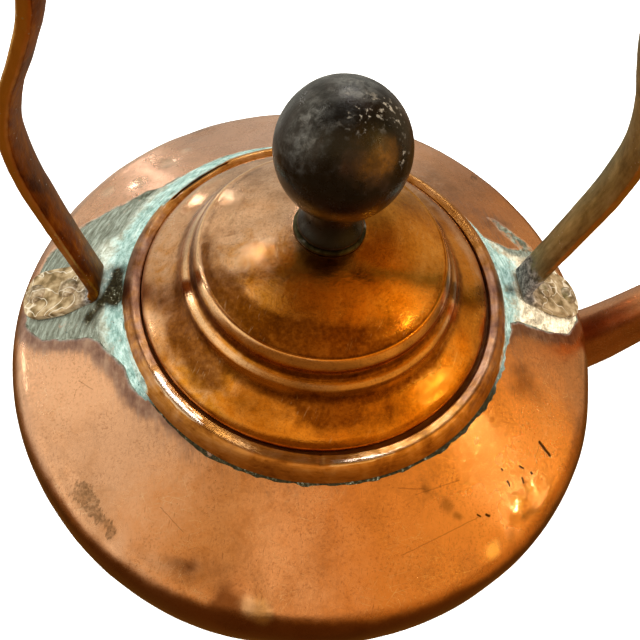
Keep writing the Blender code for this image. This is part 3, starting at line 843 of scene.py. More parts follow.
def build_body(metal, dark_metal):
    """The shoulder with its rounded rim, the side wall and the base."""
    rim = (BODY_R - RIM_ROUND, RIM_Z)
    slope_end = 90 - math.degrees(SLOPE)
    line = [(MOUTH_R, shoulder_z(MOUTH_R))] + arc(rim, RIM_ROUND, slope_end, -16, 26)
    outside = divide(line, 1.1 * MM)
    shoulder = shell("shoulder", outside, SHEET, metal, "kettle", ["body_shoulder"], 520,
                     shoulder_relief)
    paint(shoulder, scorch=scorch_mask, tarnish=tarnish_mask, stain=stain_mask, rosy=rosy_mask,
          burnished=burnished_mask, patina=lambda p: crust_share(p, 1.2))

    line = divide(metres(soften(WALL_MM, 3)), 2.2 * MM)
    wall = shell("side_wall", line, SHEET, dark_metal, "kettle", ["body_wall"], 300, wall_relief)
    # darker towards the bottom; at the top the rim's brown band, partly painted shade, carries on down
    # the wall
    paint(wall, scorch=lambda p: 0.6 * ramp(14 * MM, 0, p[:, 2]),
          tarnish=lambda p: 0.75 * ramp(26 * MM, 0, p[:, 2]) + 0.22
          + 0.6 * ramp(62 * MM, 92 * MM, p[:, 2]) + 0.25 * lumps(p, 40, 31, 3))

    line = [(106.0, 9.5)] + arc((103.0, 3.0), 3.0, 0, -90, 6) + [(0.05, 0.0)]
    line = divide(metres(line), 3.5 * MM)
    base = shell("base", line, SHEET, dark_metal, "kettle", ["base_plate"], 160)
    paint(base, tarnish=0.9, scorch=0.5)
    return wall


def collar_copper():
    """Raised ring: dull purple-brown to orange-brown, rubbed bright along parts of its lip, with a
    painted highlight there.
    """
    f = Finish("collar_copper_finish")
    turn, radius, height = f.rings()
    round_it = f.joined(turn * 0.013, radius, height)
    streaks = f.noise(1.0, 4, 0.65, 0.2, round_it)
    patch = f.noise(9, 4, 0.62, 0.5)
    grain = f.noise(0.5, 2, 0.6)
    tone = patch * 0.7 + streaks * 0.3
    brown = f.colours(tone, (0.36, (0.30, 0.115, 0.020)), (0.50, (0.58, 0.27, 0.065)),
                      (0.64, (0.76, 0.43, 0.18)))
    purple = f.colours(tone, (0.36, (0.18, 0.090, 0.065)), (0.50, (0.37, 0.205, 0.155)),
                       (0.64, (0.54, 0.35, 0.28)))
    edge = f.noise(5, 5, 0.65) - 0.5
    share = f.between(f.painted("scorch") + edge, 0.25, 0.8)
    colour = f.mix(share, brown, purple)
    scraped = f.between(f.painted("rubbed") + (streaks - 0.5) * 1.8, 0.45, 0.85)
    # painted highlight: pale colour where the lip is rubbed bright
    colour = f.mix(scraped * 0.9, colour, (0.95, 0.78, 0.64))
    # tarnish, and painted shade on the bore behind the lip
    dull = f.between(f.painted("tarnish") + edge * 0.6, 0.2, 0.95)
    colour = f.mix(dull * 0.85, colour, (0.115, 0.045, 0.012))
    crust = f.between(f.painted("patina") + edge * 0.8, 0.4, 0.66)
    green = f.colours(f.noise(3.2, 4, 0.7), (0.35, (0.08, 0.11, 0.09)), (0.5, (0.24, 0.32, 0.28)),
                      (0.65, (0.42, 0.50, 0.44)))
    colour = f.mix(crust, colour, green)
    # painted shade: near black inside the crack
    colour = f.mix(f.painted("crack"), colour, (0.008, 0.007, 0.004))
    rough = f.between(tone, 0.35, 0.65, 0.46, 0.36) - scraped * 0.12
    rough = (rough + crust * 0.35).clipped()
    metal = 1.0 - crust * 0.85
    height = streaks * 0.3 + patch
    return f.set(colour, rough, metal, f.bump(height, 0.12, f.bump(grain, 0.015)))


def collar_scorch(points):
    """Purple towards the feet and the right, orange-brown at the front and back."""
    radius, azimuth = polar(points)
    feet = bell(np.abs(azimuth), 180, 38) * 0.9 + bell(azimuth, -18, 38)
    top = ramp(78.5, 76.5, radius)
    return 0.12 + 0.62 * feet * (0.45 + 0.55 * top) + 0.35 * lumps(points, 22, 8, 3)


def collar_rubbed(points):
    """Bare metal with a painted highlight on the lip, left of the front and right of it, and a little
    at the back.
    """
    radius, azimuth = polar(points)
    lip = bell(radius, 73.9, 1.5)
    left = 1.15 * bell(azimuth, -137, 12, 4) * ramp(1, 3.5, 77.4 - radius)
    lip = np.where(azimuth < -110, bell(radius, 74.1, 2.4), lip)
    front = 0.95 * ramp(-93, -89, azimuth) * ramp(-60, -80, azimuth)
    right = 0.35 * bell(azimuth, -35, 18) + 0.45 * bell(azimuth, 140, 30)
    return lip * np.clip(left + front + right, 0, 1.2)


def collar_tarnish(points):
    """Brown at the foot and beside the left strap, and painted shade where the bore hides behind the
    lip.
    """
    radius, azimuth = polar(points)
    # painted shade: darkest on the bore below the lip
    bore = ramp(-0.6 * MM, -1.6 * MM, points[..., 2] - LID_Z) * ramp(74, 72, radius)
    return (0.30 * ramp(76, 79, radius) + 0.42 * bell(np.abs(azimuth), 180, 30)
            + 0.25 * lumps(points, 20, 18, 3) + 1.2 * bore)


def build_collar(metal):
    """The raised ring round the mouth, and the ledge inside it."""
    lip = [(71.1, -0.9), (71.2, -0.1), (71.8, 0.15), (74.1, 0.9), (74.8, 0.8), (76.0, 0.1),
           (77.6, -1.3), (78.9, -2.7), (79.7, -3.7)]
    under = [(79.6, -4.0), (75.1, -2.4), (73.5, -2.2), (73.5, -13.0), (71.1, -13.0)]

    def relief(points):
        radius, azimuth = polar(points)
        top = ramp(-6 * MM, -2 * MM, points[..., 2] - LID_Z)
        nick = 0.5 * bell(azimuth, -93.2, 0.35)
        nick = nick * ramp(75, 74, radius)
        bore = ramp(72.0, 71.3, radius) * (0.45 * bell(azimuth, -104, 22))
        crack = 0.7 * crack_mask(points)
        return (0.13 * lumps(points, 16, 2, 3) - nick - crack + bore) * top * MM

    line = closed_line(metres(soften(lip, 1) + under, LID_Z), 0.9)
    collar = turned("collar", line, metal, "kettle", ["collar_ring"], 480, relief)
    paint(collar, scorch=collar_scorch, rubbed=collar_rubbed, tarnish=collar_tarnish,
          patina=collar_patina, crack=crack_mask)

    ledge = [(71.5, -2.4), (71.5, -3.8), (66.0, -4.4), (66.0, -15.0), (64.6, -15.0), (64.6, -2.4)]
    line = closed_line(metres(ledge, LID_Z), 1.5)
    seat = turned("lid_seat", line, metal, "kettle", ["collar_seat"], 200)
    paint(seat, tarnish=0.9, scorch=0.5, patina=0, rubbed=0, crack=0)


# ---- Solder and verdigris ------------------------------------------------------------
# Crust along the collar's foot: azimuth, width and height in mm.
COLLAR_CRUST = (
    (-180, 5.0, 2.0), (-165, 3.6, 1.6), (-155, 2.2, 1.1), (-147, 1.5, 0.8), (-141, 0.9, 0.40),
    (-126, 1.3, 0.45), (-108, 1.1, 0.42), (-90, 1.2, 0.45), (-66, 1.1, 0.42), (-50, 1.9, 0.65),
    (-36, 2.3, 0.75), (-22, 1.9, 0.7), (-13, 2.5, 0.9),
    (0, 5.0, 1.9), (14, 5.0, 1.9), (20, 2.6, 1.0), (30, 0.5, 0.25), (80, 0.5, 0.25), (95, 1.8, 0.9),
    (110, 4.0, 1.8), (122, 5.2, 2.2), (132, 6.0, 2.5), (146, 6.4, 2.4), (160, 6.0, 2.2),
    (180, 5.0, 2.0),
)
# Outlines on the shoulder of the solder run round each foot, in mm seen from above.
LEFT_RUN = ((-62, 59), (-69, 54), (-76, 52), (-85, 47), (-95, 42), (-103, 37), (-112, 29),
            (-118, 17), (-121, 2), (-119, -11), (-110, -18), (-97, -20), (-90, -21), (-85, -24),
            (-80, -30), (-74, -36), (-70, -42), (-65, -48), (-58, -46), (-70, 0), (-56, 52))
RIGHT_RUN = ((75, 28), (84, 25), (91, 23), (98, 24), (105, 25), (111, 22), (117, 16), (121, 4),
             (120, -9), (112, -17), (100, -18), (90, -17), (84, -16), (76, -19), (70, 0))
# A thin grey film drawn out along the metal beyond the right run.
RIGHT_STREAK = ((84, 43), (89, 43), (98, 37), (108, 29), (109, 21), (98, 24), (90, 32))


def inside_mm(points, outline):
    """Distance in mm inside a closed outline seen from above, negative outside it."""
    x, y = points[..., 0] / MM, points[..., 1] / MM
    nearest = np.full(x.shape, 1e9)
    inside = np.zeros(x.shape, bool)
    for (ax, ay), (bx, by) in zip(outline, outline[1:] + outline[:1]):
        share = ((x - ax) * (bx - ax) + (y - ay) * (by - ay)) / ((bx - ax) ** 2 + (by - ay) ** 2)
        share = np.clip(share, 0, 1)
        away = np.hypot(x - ax - share * (bx - ax), y - ay - share * (by - ay))
        nearest = np.minimum(nearest, away)
        if ay != by:
            crossed = ((ay > y) != (by > y)) & (x < (bx - ax) * (y - ay) / (by - ay) + ax)
            inside ^= crossed
    return np.where(inside, nearest, -nearest)


def run_mm(points):
    """Distance in mm inside the nearer foot's run, negative outside both."""
    return np.maximum(inside_mm(points, LEFT_RUN), inside_mm(points, RIGHT_RUN))


def crack_mask(points):
    """A long crack on the collar's back, where the crust has let go of the lip, painted near black as
    the shade inside it.
    """
    radius, azimuth = polar(points)
    half = 0.95 * (1 - (np.abs(azimuth - 134.5) / 13.5) ** 2)
    away = np.abs(radius - 74.2) / np.maximum(half, 0.1)
    return ramp(14, 12, np.abs(azimuth - 134.5)) * np.exp(-(away**4))


def collar_patina(points):
    """Verdigris low on the collar's outer slope, and right up to the crack at the back left."""
    radius, azimuth = polar(points)
    low = crust_share(points, 0.2) * ramp(76.5, 79, radius)
    climbed = bell(azimuth, 136, 17, 4) * ramp(74.3, 75.3, radius)
    return np.maximum(low, climbed)


def crust_mm(points):
    """Thickness of the solder and verdigris over the shoulder, negative where there is none."""
    radius, azimuth = polar(points)
    table = np.array(COLLAR_CRUST, float)
    width = np.interp(azimuth, table[:, 0], table[:, 1])
    height = np.interp(azimuth, table[:, 0], table[:, 2])
    seam = ramp(-150, -140, azimuth) * ramp(-5, -15, azimuth)
    width = width * (1 + seam * (0.5 * lumps(points, 3.2, 52, 2) + 0.5 * lumps(points, 14, 53)))
    along = height * (1 - np.maximum(radius - 79.3, 0) / width)
    along = along + 0.25 * height * np.clip((79.3 - radius) / 2.0, 0, 1)
    run = run_mm(points) + 1.3 * lumps(points, 11, 4, 3)
    side = np.abs(points[..., 0]) / MM
    across_foot = np.abs(points[..., 1]) / MM
    heel = np.hypot(side - 87, across_foot * 0.7) / 13  # a mound of solder round each heel
    spread = np.where(run > 0, 0.9 * (1 - np.exp(-run / 3.0)), run * 0.25)
    spread = spread + 1.5 * np.exp(-heel**2) * ramp(0, 3, run)
    spread = spread - 1.4 * near_line(points, (-81.5, 4.0), (-80.5, -7.0), 2.6)  # a hollow
    thick = np.maximum(along, spread)
    return thick + 0.35 * lumps(points, 8, 14, 3) * ramp(0.1, 0.9, thick)


def crust_share(points, beyond):
    """Thin green bloom on the copper, in and a little beyond the crust."""
    streak = 0.62 * ramp(-3.0, 2.5, inside_mm(points, RIGHT_STREAK))
    left_film = 0.6 * ramp(-5.0, 0.0, run_mm(points)) * ramp(60 * MM, 90 * MM, -points[..., 0])
    near_crust = ramp(-beyond, 0.4, crust_mm(points) - 0.15) * (1 - 0.85 * grime_mask(points))
    return np.maximum(np.maximum(near_crust, streak), left_film * ramp(0, 20 * MM, points[..., 1]))


def crust_patch(name, turns, radii, material, node, whole=False):
    """Crust between two azimuths, or all the way round, closed below inside the copper."""
    azimuth = np.radians(np.array(turns))[:, None]
    radius = np.array(radii)[None, :]
    base_z = shoulder_z(np.maximum(radius, 79.0 * MM)) + 0 * azimuth
    edge = (radius - (BODY_R - RIM_ROUND)) / RIM_ROUND
    curved = RIM_Z + RIM_ROUND * np.sqrt(np.clip(1 - edge**2, 0, 1))
    base_z = np.where(radius > 118 * MM, curved, base_z)  # past the slope's end
    flat = np.stack([radius * np.cos(azimuth), radius * np.sin(azimuth), base_z], axis=-1)
    lift = shoulder_relief(flat)
    thick = crust_mm(flat)
    rough = 0.30 * lumps(flat, 2.6, 9, 3) + 0.22 * lumps(flat, 6.5, 19, 2)
    grown = np.where(thick > 0, thick + rough * ramp(0, 0.7, thick), thick * 0.5)
    grown = np.clip(grown, -0.7, 3.2) * MM
    top = flat.copy()
    top[..., 2] += grown + lift
    bottom = flat.copy()
    bottom[..., 2] += lift - 1.0 * MM
    rows, columns = top.shape[:2]
    points = np.concatenate([top, bottom[:, ::-1]], axis=1).reshape(-1, 3)
    faces = grid_faces(rows, columns * 2, whole, True)
    if not whole:
        for start in (0, (rows - 1) * columns * 2):
            end = start + 2 * columns - 1
            faces += [(start + k, start + k + 1, end - 1 - k, end - k) for k in range(columns - 1)]
    piece = mesh_object(name, points, faces, material, "kettle", [node], 60.0)
    paint(piece, teal=teal_mask, grime=grime_mask, film=film_mask)


def teal_mask(points):
    """Where the crust is green: a band along the collar and round the heels."""
    radius = polar(points)[0]
    left = points[..., 0] < 20 * MM
    close = bell(radius, 80.5, np.where(left, 5.5, 6.5))
    mask = close * np.where(left, 0.85, 0.62) + 0.12
    mask = mask + 0.25 * near(points, 163, 92, 8) + 0.4 * near(points, 8, 87, 7)
    return np.clip(mask, 0, 1)


def film_mask(points):
    """Thin grey-green film at the outer parts of each run."""
    radius = polar(points)[0]
    far = ramp(83, 92, radius) * ramp(10 * MM, 28 * MM, points[..., 1])
    far = np.maximum(far, 0.9 * ramp(86, 93, radius) * (points[..., 0] < 0))
    mask = far + 0.7 * near(points, -169, 97, 13) + 0.6 * near(points, -160, 88, 5)
    mask = mask - 0.6 * near(points, 168, 90, 7) + 0.35 * near(points, 18, 96, 8)
    return np.clip(mask, 0, 0.95)


def grime_mask(points):
    """Brown-black deposits in the seam at the collar's front, and painted shade in the hollows by the
    heels.
    """
    azimuth = polar(points)[1]
    front = ramp(-149, -140, azimuth) * ramp(-20, -52, azimuth)
    right = 0.45 * ramp(-56, -46, azimuth) * ramp(-14, -20, azimuth)
    back = ramp(24, 34, azimuth) * ramp(100, 84, azimuth)
    ragged = 1 + 0.7 * lumps(points, 5, 16, 3)
    # painted shade in the hollows beside the heels
    hollow = 1.5 * near_line(points, (-81.5, 4.5), (-80.0, -8.0), 3.4) * ragged
    hollow += 1.2 * near_line(points, (-83.0, -4.0), (-91.0, -14.0), 2.8) * ragged
    hollow += 0.9 * near(points, -2, 83, 2.6) * ragged
    return np.clip(front + right + 0.6 * back + hollow, 0, 1)


def build_crust(material):
    """The ring along the collar, and a patch under each foot that starts where the ring ends."""
    crust_patch("collar_crust", np.linspace(-180, 180, 1080, endpoint=False),
                np.linspace(77.2, 89.4, 23) * MM, material, "collar_solder", whole=True)
    reach = np.linspace(89.4, 124, 52) * MM
    crust_patch("foot_crust_left", np.linspace(149, 203, 150), reach, material, "foot_solder_left")
    crust_patch("foot_crust_right", np.linspace(-20, 26, 130), reach, material, "foot_solder_right")


# ---- Lid -----------------------------------------------------------------------------
# The lid's outside from the knob to the edge: radius and height over the edge's plane.
LID_LINE_MM = (
    (3.0, 34.2), (12.0, 34.2), (19.0, 32.9), (29.0, 30.1), (39.0, 26.1), (44.6, 23.3),
    (45.3, 23.1), (46.1, 23.0), (48.2, 20.2), (48.5, 19.4), (48.6, 17.6), (49.6, 15.9),
    (50.3, 15.4), (52.7, 13.3), (53.2, 12.7), (53.9, 11.2), (56.0, 8.9), (60.0, 6.9),
    (64.0, 5.2), (67.6, 3.2), (69.6, 1.3), (70.0, 0.0), (69.8, -1.2), (69.0, -1.9),
)


# Azimuth, radius, depth and width in mm.
LID_DINGS = ((-35, 61, 0.25, 5), (-80, 36, 0.14, 9), (120, 30, 0.2, 7), (-150, 60, 0.15, 6))


def lid_tarnish(points):
    """Brown in the cove and grooves, in cloudy patches and a patch at the left that are partly painted
    dark reflections, and where the front is less polished.
    """
    radius, azimuth = polar(points)
    front = bell(azimuth, -96, 52)
    right = bell(azimuth, -10, 40)
    back = 1 - np.maximum(front, right)
    groove = 1.0 * bell(radius, 49.4, 1.2) + 0.75 * bell(radius, 55.6, 1.8)
    groove += 0.5 * bell(radius, 43.6, 1.4) + 0.5 * bell(radius, 13.2, 1.2)
    round_front = bell(azimuth, -115, 58)
    start = 39.8 - 4.5 * front + 5.0 * lumps(points, 17, 27, 4, 0.6)
    low_dome = 1.15 * round_front * ramp(-5.0, 2.4, radius - start) * ramp(45.6, 44.8, radius)
    low_dome += 0.50 * bell(azimuth, -90, 42) * bell(radius, 32, 9)
    brim = (0.75 * front + 0.8 * bell(azimuth, -146, 22)) * bell(radius, 60.5, 5.5)
    brim = brim * (0.8 + 0.8 * lumps(points, 16, 33, 3))
    # painted shade: the patch at the left and the clouds stand partly for dark reflections
    left = 0.5 * bell(azimuth, 178, 16) * bell(radius, 35, 8)
    clouds = 0.85 * np.clip(lumps(points, 26, 13, 3) - 0.05, 0, 1)
    total = groove * (0.75 + 0.35 * front - 0.2 * back) + low_dome + brim + left + clouds
    return np.clip(total, 0, 1.2)


def lid_rosy(points):
    """Painted light: pinker towards the back left and oranger towards the front right, for the colour
    of the light from each side, and pinker on the right of the brim.
    """
    radius, azimuth = polar(points)
    edge = 0.7 * bell(azimuth, 12, 24) * ramp(58, 64, radius)
    turn = 0.38 + 0.55 * np.cos(np.radians(azimuth - 135))
    return turn + edge + 0.25 * lumps(points, 40, 23, 2)


def lid_matte(points):
    """Duller on the flank beside the left foot."""
    radius, azimuth = polar(points)
    flank = bell(np.abs(azimuth), 180, 24) + 0.8 * bell(azimuth, 0, 24)
    flank = flank * ramp(52, 56, radius)
    return np.clip(flank * (1 + 0.4 * lumps(points, 9, 41, 2)), 0, 1)


def lid_ridges(points):
    """The two ridges and the brim's edge are rubbed brighter, paled further into a painted highlight.
    """
    radius = polar(points)[0]
    ridges = bell(radius, 46.9, 1.3) + 0.9 * bell(radius, 51.9, 1.2)
    return np.clip(ridges + 0.5 * ramp(68.6, 69.6, radius), 0, 1)


def build_lid(metal):
    """The domed lid, and the bezel under it that stands in the collar."""
    line = divide(metres(soften(LID_LINE_MM, 2), LID_Z), 0.8 * MM)

    def relief(points):
        dings = sum(depth * near(points, turn, place, width)
                    for turn, place, depth, width in LID_DINGS)
        return (0.10 * lumps(points, 26, 17, 2) - dings) * MM

    lid = shell("lid", line, 1.1 * MM, metal, "lid", ["lid_dome"], 400, relief, 35.0)
    lid.data.transform(Matrix.Translation((-0.6 * MM, 0.25 * MM, 0)))  # it sits a little off centre
    paint(lid, tarnish=lid_tarnish, ridge=lid_ridges, rosy=lid_rosy, matte=lid_matte)

    line = closed_line(metres([(64.0, 2.4), (64.0, -13.8), (62.9, -13.8), (62.9, 2.4)], LID_Z), 2.0)
    bezel = turned("bezel", line, metal, "lid", ["lid_bezel"], 200)
    paint(bezel, tarnish=lambda p: 0.6 + 0.3 * lumps(p, 12, 3, 2), rosy=0.3, ridge=0, matte=0.5)


# Places on the ball: grey with wear and a painted sheen, brown partly with a painted reflection of the
# copper, and chipped. Direction from its centre, size in radii, share.
WORN = ((0.03, 0.08, 1.00, 0.34, 0.95), (-0.50, -0.17, 0.85, 0.22, 0.50),
        (-0.82, -0.35, 0.45, 0.45, 0.42), (-0.48, -0.51, 0.71, 0.34, 0.20),
        (-0.35, 0.55, 0.75, 0.40, 0.50), (0.5, 0.6, 0.6, 0.3, 0.5))
BROWNED = ((0.45, -0.67, 0.59, 0.24, 1.00), (0.25, -0.85, 0.47, 0.26, 0.35),
           (-0.05, -0.78, 0.62, 0.30, 0.20), (-0.5, 0.8, 0.2, 0.4, 0.6))
CHIPPED = ((0.09, -0.32, 0.94, 0.20, 1.3), (0.44, -0.14, 0.89, 0.18, 1.3),
           (0.64, -0.22, 0.74, 0.16, 0.9), (0.70, -0.55, 0.45, 0.12, 0.8))


def on_ball(points, spots):
    """The sum of soft round spots on the ball."""
    out = (points - np.array([0, 0, BALL_Z])) / BALL_R
    return sum(share * np.exp(-np.sum((out - np.array(way)) ** 2, axis=1) / size**2)
               for *way, size, share in spots)


def build_knob(wood, brass, dark):
    """The ball on its neck, the brass ring under it, and the stud, washer and nut."""
    foot = BALL_LOW.z + 0.05 * MM
    join = math.degrees(math.asin(8.0 * MM / BALL_R)) - 90  # where the ball meets the neck
    line = arc((0, BALL_Z), BALL_R, 89.8, join, 60)
    neck = [(8.05 * MM, BALL_Z - BALL_R + 1.6 * MM), (8.3 * MM, foot + 7.4 * MM),
            (9.4 * MM, foot + 4.4 * MM), (11.2 * MM, foot + 1.9 * MM),
            (11.6 * MM, foot + 1.0 * MM), (11.6 * MM, foot)]
    line += [tuple(point) for point in soften(neck, 2)]
    line += [(3.0 * MM, foot), (2.9 * MM, BALL_Z + 6 * MM), (0.05 * MM, BALL_Z + 6.3 * MM)]

    def relief(points):
        free = ramp(foot + 2 * MM, foot + 8 * MM, points[..., 2]) * ramp(4, 8, polar(points)[0])
        return 0.12 * lumps(points, 12, 5, 3) * free * MM

    ball = turned("ball_knob", divide(line, 0.9 * MM), wood, "knob", ["knob_ball"], 180, relief)
    paint(ball, brown=lambda p: on_ball(p, BROWNED), worn=lambda p: on_ball(p, WORN),
          specks=lambda p: on_ball(p, CHIPPED))

    low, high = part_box("knob_seat_ring")
    line = [(3.0 * MM, high.z), (11.9 * MM, high.z), (12.6 * MM, high.z - 0.3 * MM),
            (12.8 * MM, low.z + 0.3 * MM), (12.8 * MM, low.z), (3.0 * MM, low.z)]
    ring = turned("seat_ring", closed_line(line, 0.8), brass, "lid", ["knob_seat_ring"], 120)
    paint(ring, edge=0, foot=0, solder=lambda p: 0.35 + 0.5 * lumps(p, 6, 3, 2))

    bevel = 0.4 * MM
    for node, bore in (("knob_stud", 0.05 * MM), ("knob_washer", 2.8 * MM)):
        low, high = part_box(node)
        line = [(bore, high.z), (high.x - bevel, high.z), (high.x, high.z - bevel),
                (high.x, low.z + bevel), (high.x - bevel, low.z), (bore, low.z)]
        turned(node + "_fine", closed_line(line, 1.5), dark, "lid", [node], 48)
    build_nut(dark)


def build_nut(material):
    """A hexagon with rounded-off corners, over the stud."""
    low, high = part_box("knob_nut")
    flat = high.x * math.cos(math.pi / 6)
    turns = [math.tau * i / 36 for i in range(36)]

    def row(z, sizes):
        return [(size * math.cos(turn), size * math.sin(turn), z) for size, turn in zip(sizes, turns)]

    def hexagon(z, shrink):
        sides = [flat / math.cos((turn + math.pi / 6) % (math.pi / 3) - math.pi / 6) for turn in turns]
        return row(z, [min(side, high.x * shrink) for side in sides])

    bore = [3.0 * MM] * 36
    rows = [hexagon(low.z, 0.93), hexagon(low.z + 0.5 * MM, 1.0), hexagon(high.z - 0.5 * MM, 1.0),
            hexagon(high.z, 0.93), row(high.z, bore), row(low.z, bore)]
    points = np.array(rows).reshape(-1, 3)
    faces = grid_faces(6, 36, True, True)
    mesh_object("nut_fine", points, faces, material, "lid", ["knob_nut"], 30.0)


# ---- Handle --------------------------------------------------------------------------
# The right strap's middle line above its heel: x and z.
UPRIGHT_MM = (
    (88.7, 148.0), (89.4, 166.0), (89.6, 182.0), (87.6, 197.0), (82.0, 210.0), (75.0, 220.5),
    (69.0, 230.5), (65.8, 241.0), (65.0, 250.0),
)
# The foot's outline from its tip inwards: x, and its share of the full half width.
FOOT_MM = ((119.6, 0.25), (118.9, 0.52), (117.6, 0.76), (115.6, 0.91), (113.0, 0.98),
           (108.0, 1.0), (102.0, 0.97), (98.8, 0.88))


def strap_line():
    """(x, z, half width, half thickness) from the foot's end up to the grip rod, in metres."""
    half_t, foot_t, foot_w, strap_w = 2.1 * MM, 1.5 * MM, 11.2 * MM, 6.8 * MM
    heel_round, heel_x = 7.5 * MM, 95.5 * MM

    def foot_z(x):
        return shoulder_z(x) + (2 * GAP + SOLDER_T + foot_t) / math.cos(SLOPE)

    stations = [(x * MM, foot_z(x * MM), foot_w * share, foot_t) for x, share in FOOT_MM]
    centre_z = foot_z(heel_x) + heel_round / math.cos(SLOPE)
    bend = arc((heel_x, centre_z), heel_round, -90 - math.degrees(SLOPE), -180, 8)
    for i, (x, z) in enumerate(bend):
        share = i / (len(bend) - 1)
        stations.append((x, z, foot_w * 0.74 + (strap_w - foot_w * 0.74) * share,
                         foot_t + (half_t - foot_t) * share))
    for i in range(41):
        x, z = curve_through(UPRIGHT_MM, i / 40) * MM
        widen = ramp(236 * MM, 250 * MM, z)
        stations.append((x, z, strap_w + 1.7 * MM * widen, half_t))
    top_w = 8.5 * MM  # the rounded end that the rod goes through
    for turn in np.radians(range(0, 86, 8)):
        stations.append((65.0 * MM, GRIP_Z + top_w * math.sin(turn), top_w * math.cos(turn), half_t))
    return stations


def strap_section(half_w, half_t, crown):
    """Oblong section with rounded edges and a crowned inner face."""
    edge = min(0.9 * MM, half_t * 0.45, half_w * 0.6)
    points = []
    for sign_w, sign_t, start in ((1, 1, 0), (-1, 1, 90), (-1, -1, 180), (1, -1, 270)):
        for turn in range(start, start + 91, 30):
            points.append((sign_w * (half_w - edge) + edge * math.cos(math.radians(turn)),
                           sign_t * (half_t - edge) + edge * math.sin(math.radians(turn))))
    ring = []
    for k, (a, b) in enumerate(zip(points, points[1:] + points[:1])):
        spans = 12 if k % 8 == 3 else 1  # the two wide faces, so that the crown can bend
        for i in range(spans):
            w, t = (a[axis] + (b[axis] - a[axis]) * i / spans for axis in (0, 1))
            ring.append((w, t + crown * (w / half_w) ** 2 if t < 0 else t))
    return ring


def build_straps(metals):
    """Both straps from one line. metals holds the right one's material under 1, the left's under -1."""
    stations = strap_line()
    line = np.array([(x, z) for x, z, _, _ in stations])
    heights, half_widths = np.array(stations)[16:, 1:3].T  # from the heel up
    out = -across(line)
    for side, word in ((1, "right"), (-1, "left")):
        rows = []
        for (x, z, half_w, half_t), (out_x, out_z) in zip(stations, out):
            crown = 1.5 * MM * ramp(LID_Z - 2 * MM, LID_Z + 8 * MM, z)
            rows.append([(side * (x + out_x * t), w, z + out_z * t)
                         for w, t in strap_section(half_w, half_t, crown)])
        points = np.array(rows)
        centre = np.array([(side * x, 0, z) for x, z in line])[:, None, :]
        uneven = 0.22 * lumps(points, 9, 6 + side, 3) + 0.12 * lumps(points, 3, 2, 2)
        points = pushed_out(points, centre, uneven)
        faces = grid_faces(points.shape[0], points.shape[1], False, True, caps=True)
        strap = mesh_object("strap_" + word, points.reshape(-1, 3), faces, metals[side], "kettle",
                            ["handle_upright_" + word])
        top = LID_Z + (13 if side > 0 else 4) * MM

        def soldered(p):
            heel = np.where(side * p[:, 0] < 91 * MM, 1.0 if side > 0 else 0.35, 1.0)
            return ramp(top, top - 9 * MM, p[:, 2]) * heel

        def edges(p):
            width = np.interp(p[:, 2], heights, half_widths)
            return ramp(0.80, 0.99, np.abs(p[:, 1]) / width) * ramp(LID_Z, LID_Z + 9 * MM, p[:, 2])

        paint(strap, solder=soldered, edge=edges,
              foot=lambda p: ramp(91.5 * MM, 95 * MM, np.abs(p[:, 0]))
              * ramp(LID_Z + 8 * MM, LID_Z + 2 * MM, p[:, 2]))


def build_rivets(material):
    """Low hammered heads over the feet, and clenched ends inside."""
    top = (2 * GAP + SOLDER_T) / MM + 3.0
    line = [(0.05, top + 2.1), (1.6, top + 1.95), (3.2, top + 1.3), (4.2, top + 0.35),
            (4.3, top - 0.2), (2.1, top - 0.4), (2.1, -1.8), (3.9, -1.8), (3.4, -2.8), (0.05, -3.1)]
    line = divide(metres(soften(line, 1)), 0.6 * MM)
    for word, side in (("right", 1), ("left", -1)):
        for which, x, seed in (("inner", 99.5 * MM, 5), ("outer", 113.7 * MM, 8)):
            rivet = turned(f"rivet_{word}_{which}", line, material, "kettle",
                           [f"foot_rivet_{word}_{which}"], 40,
                           lambda p: 0.28 * lumps(p, 2.6, seed, 2) * MM)
            rivet.data.transform(Matrix.Translation((side * x, 0, shoulder_z(x)))
                                 @ Matrix.Rotation(side * SLOPE, 4, "Y"))
            paint(rivet, solder=lambda p: 0.75 + 0.4 * lumps(p, 4, 3, 2), edge=0.4, foot=0.8)


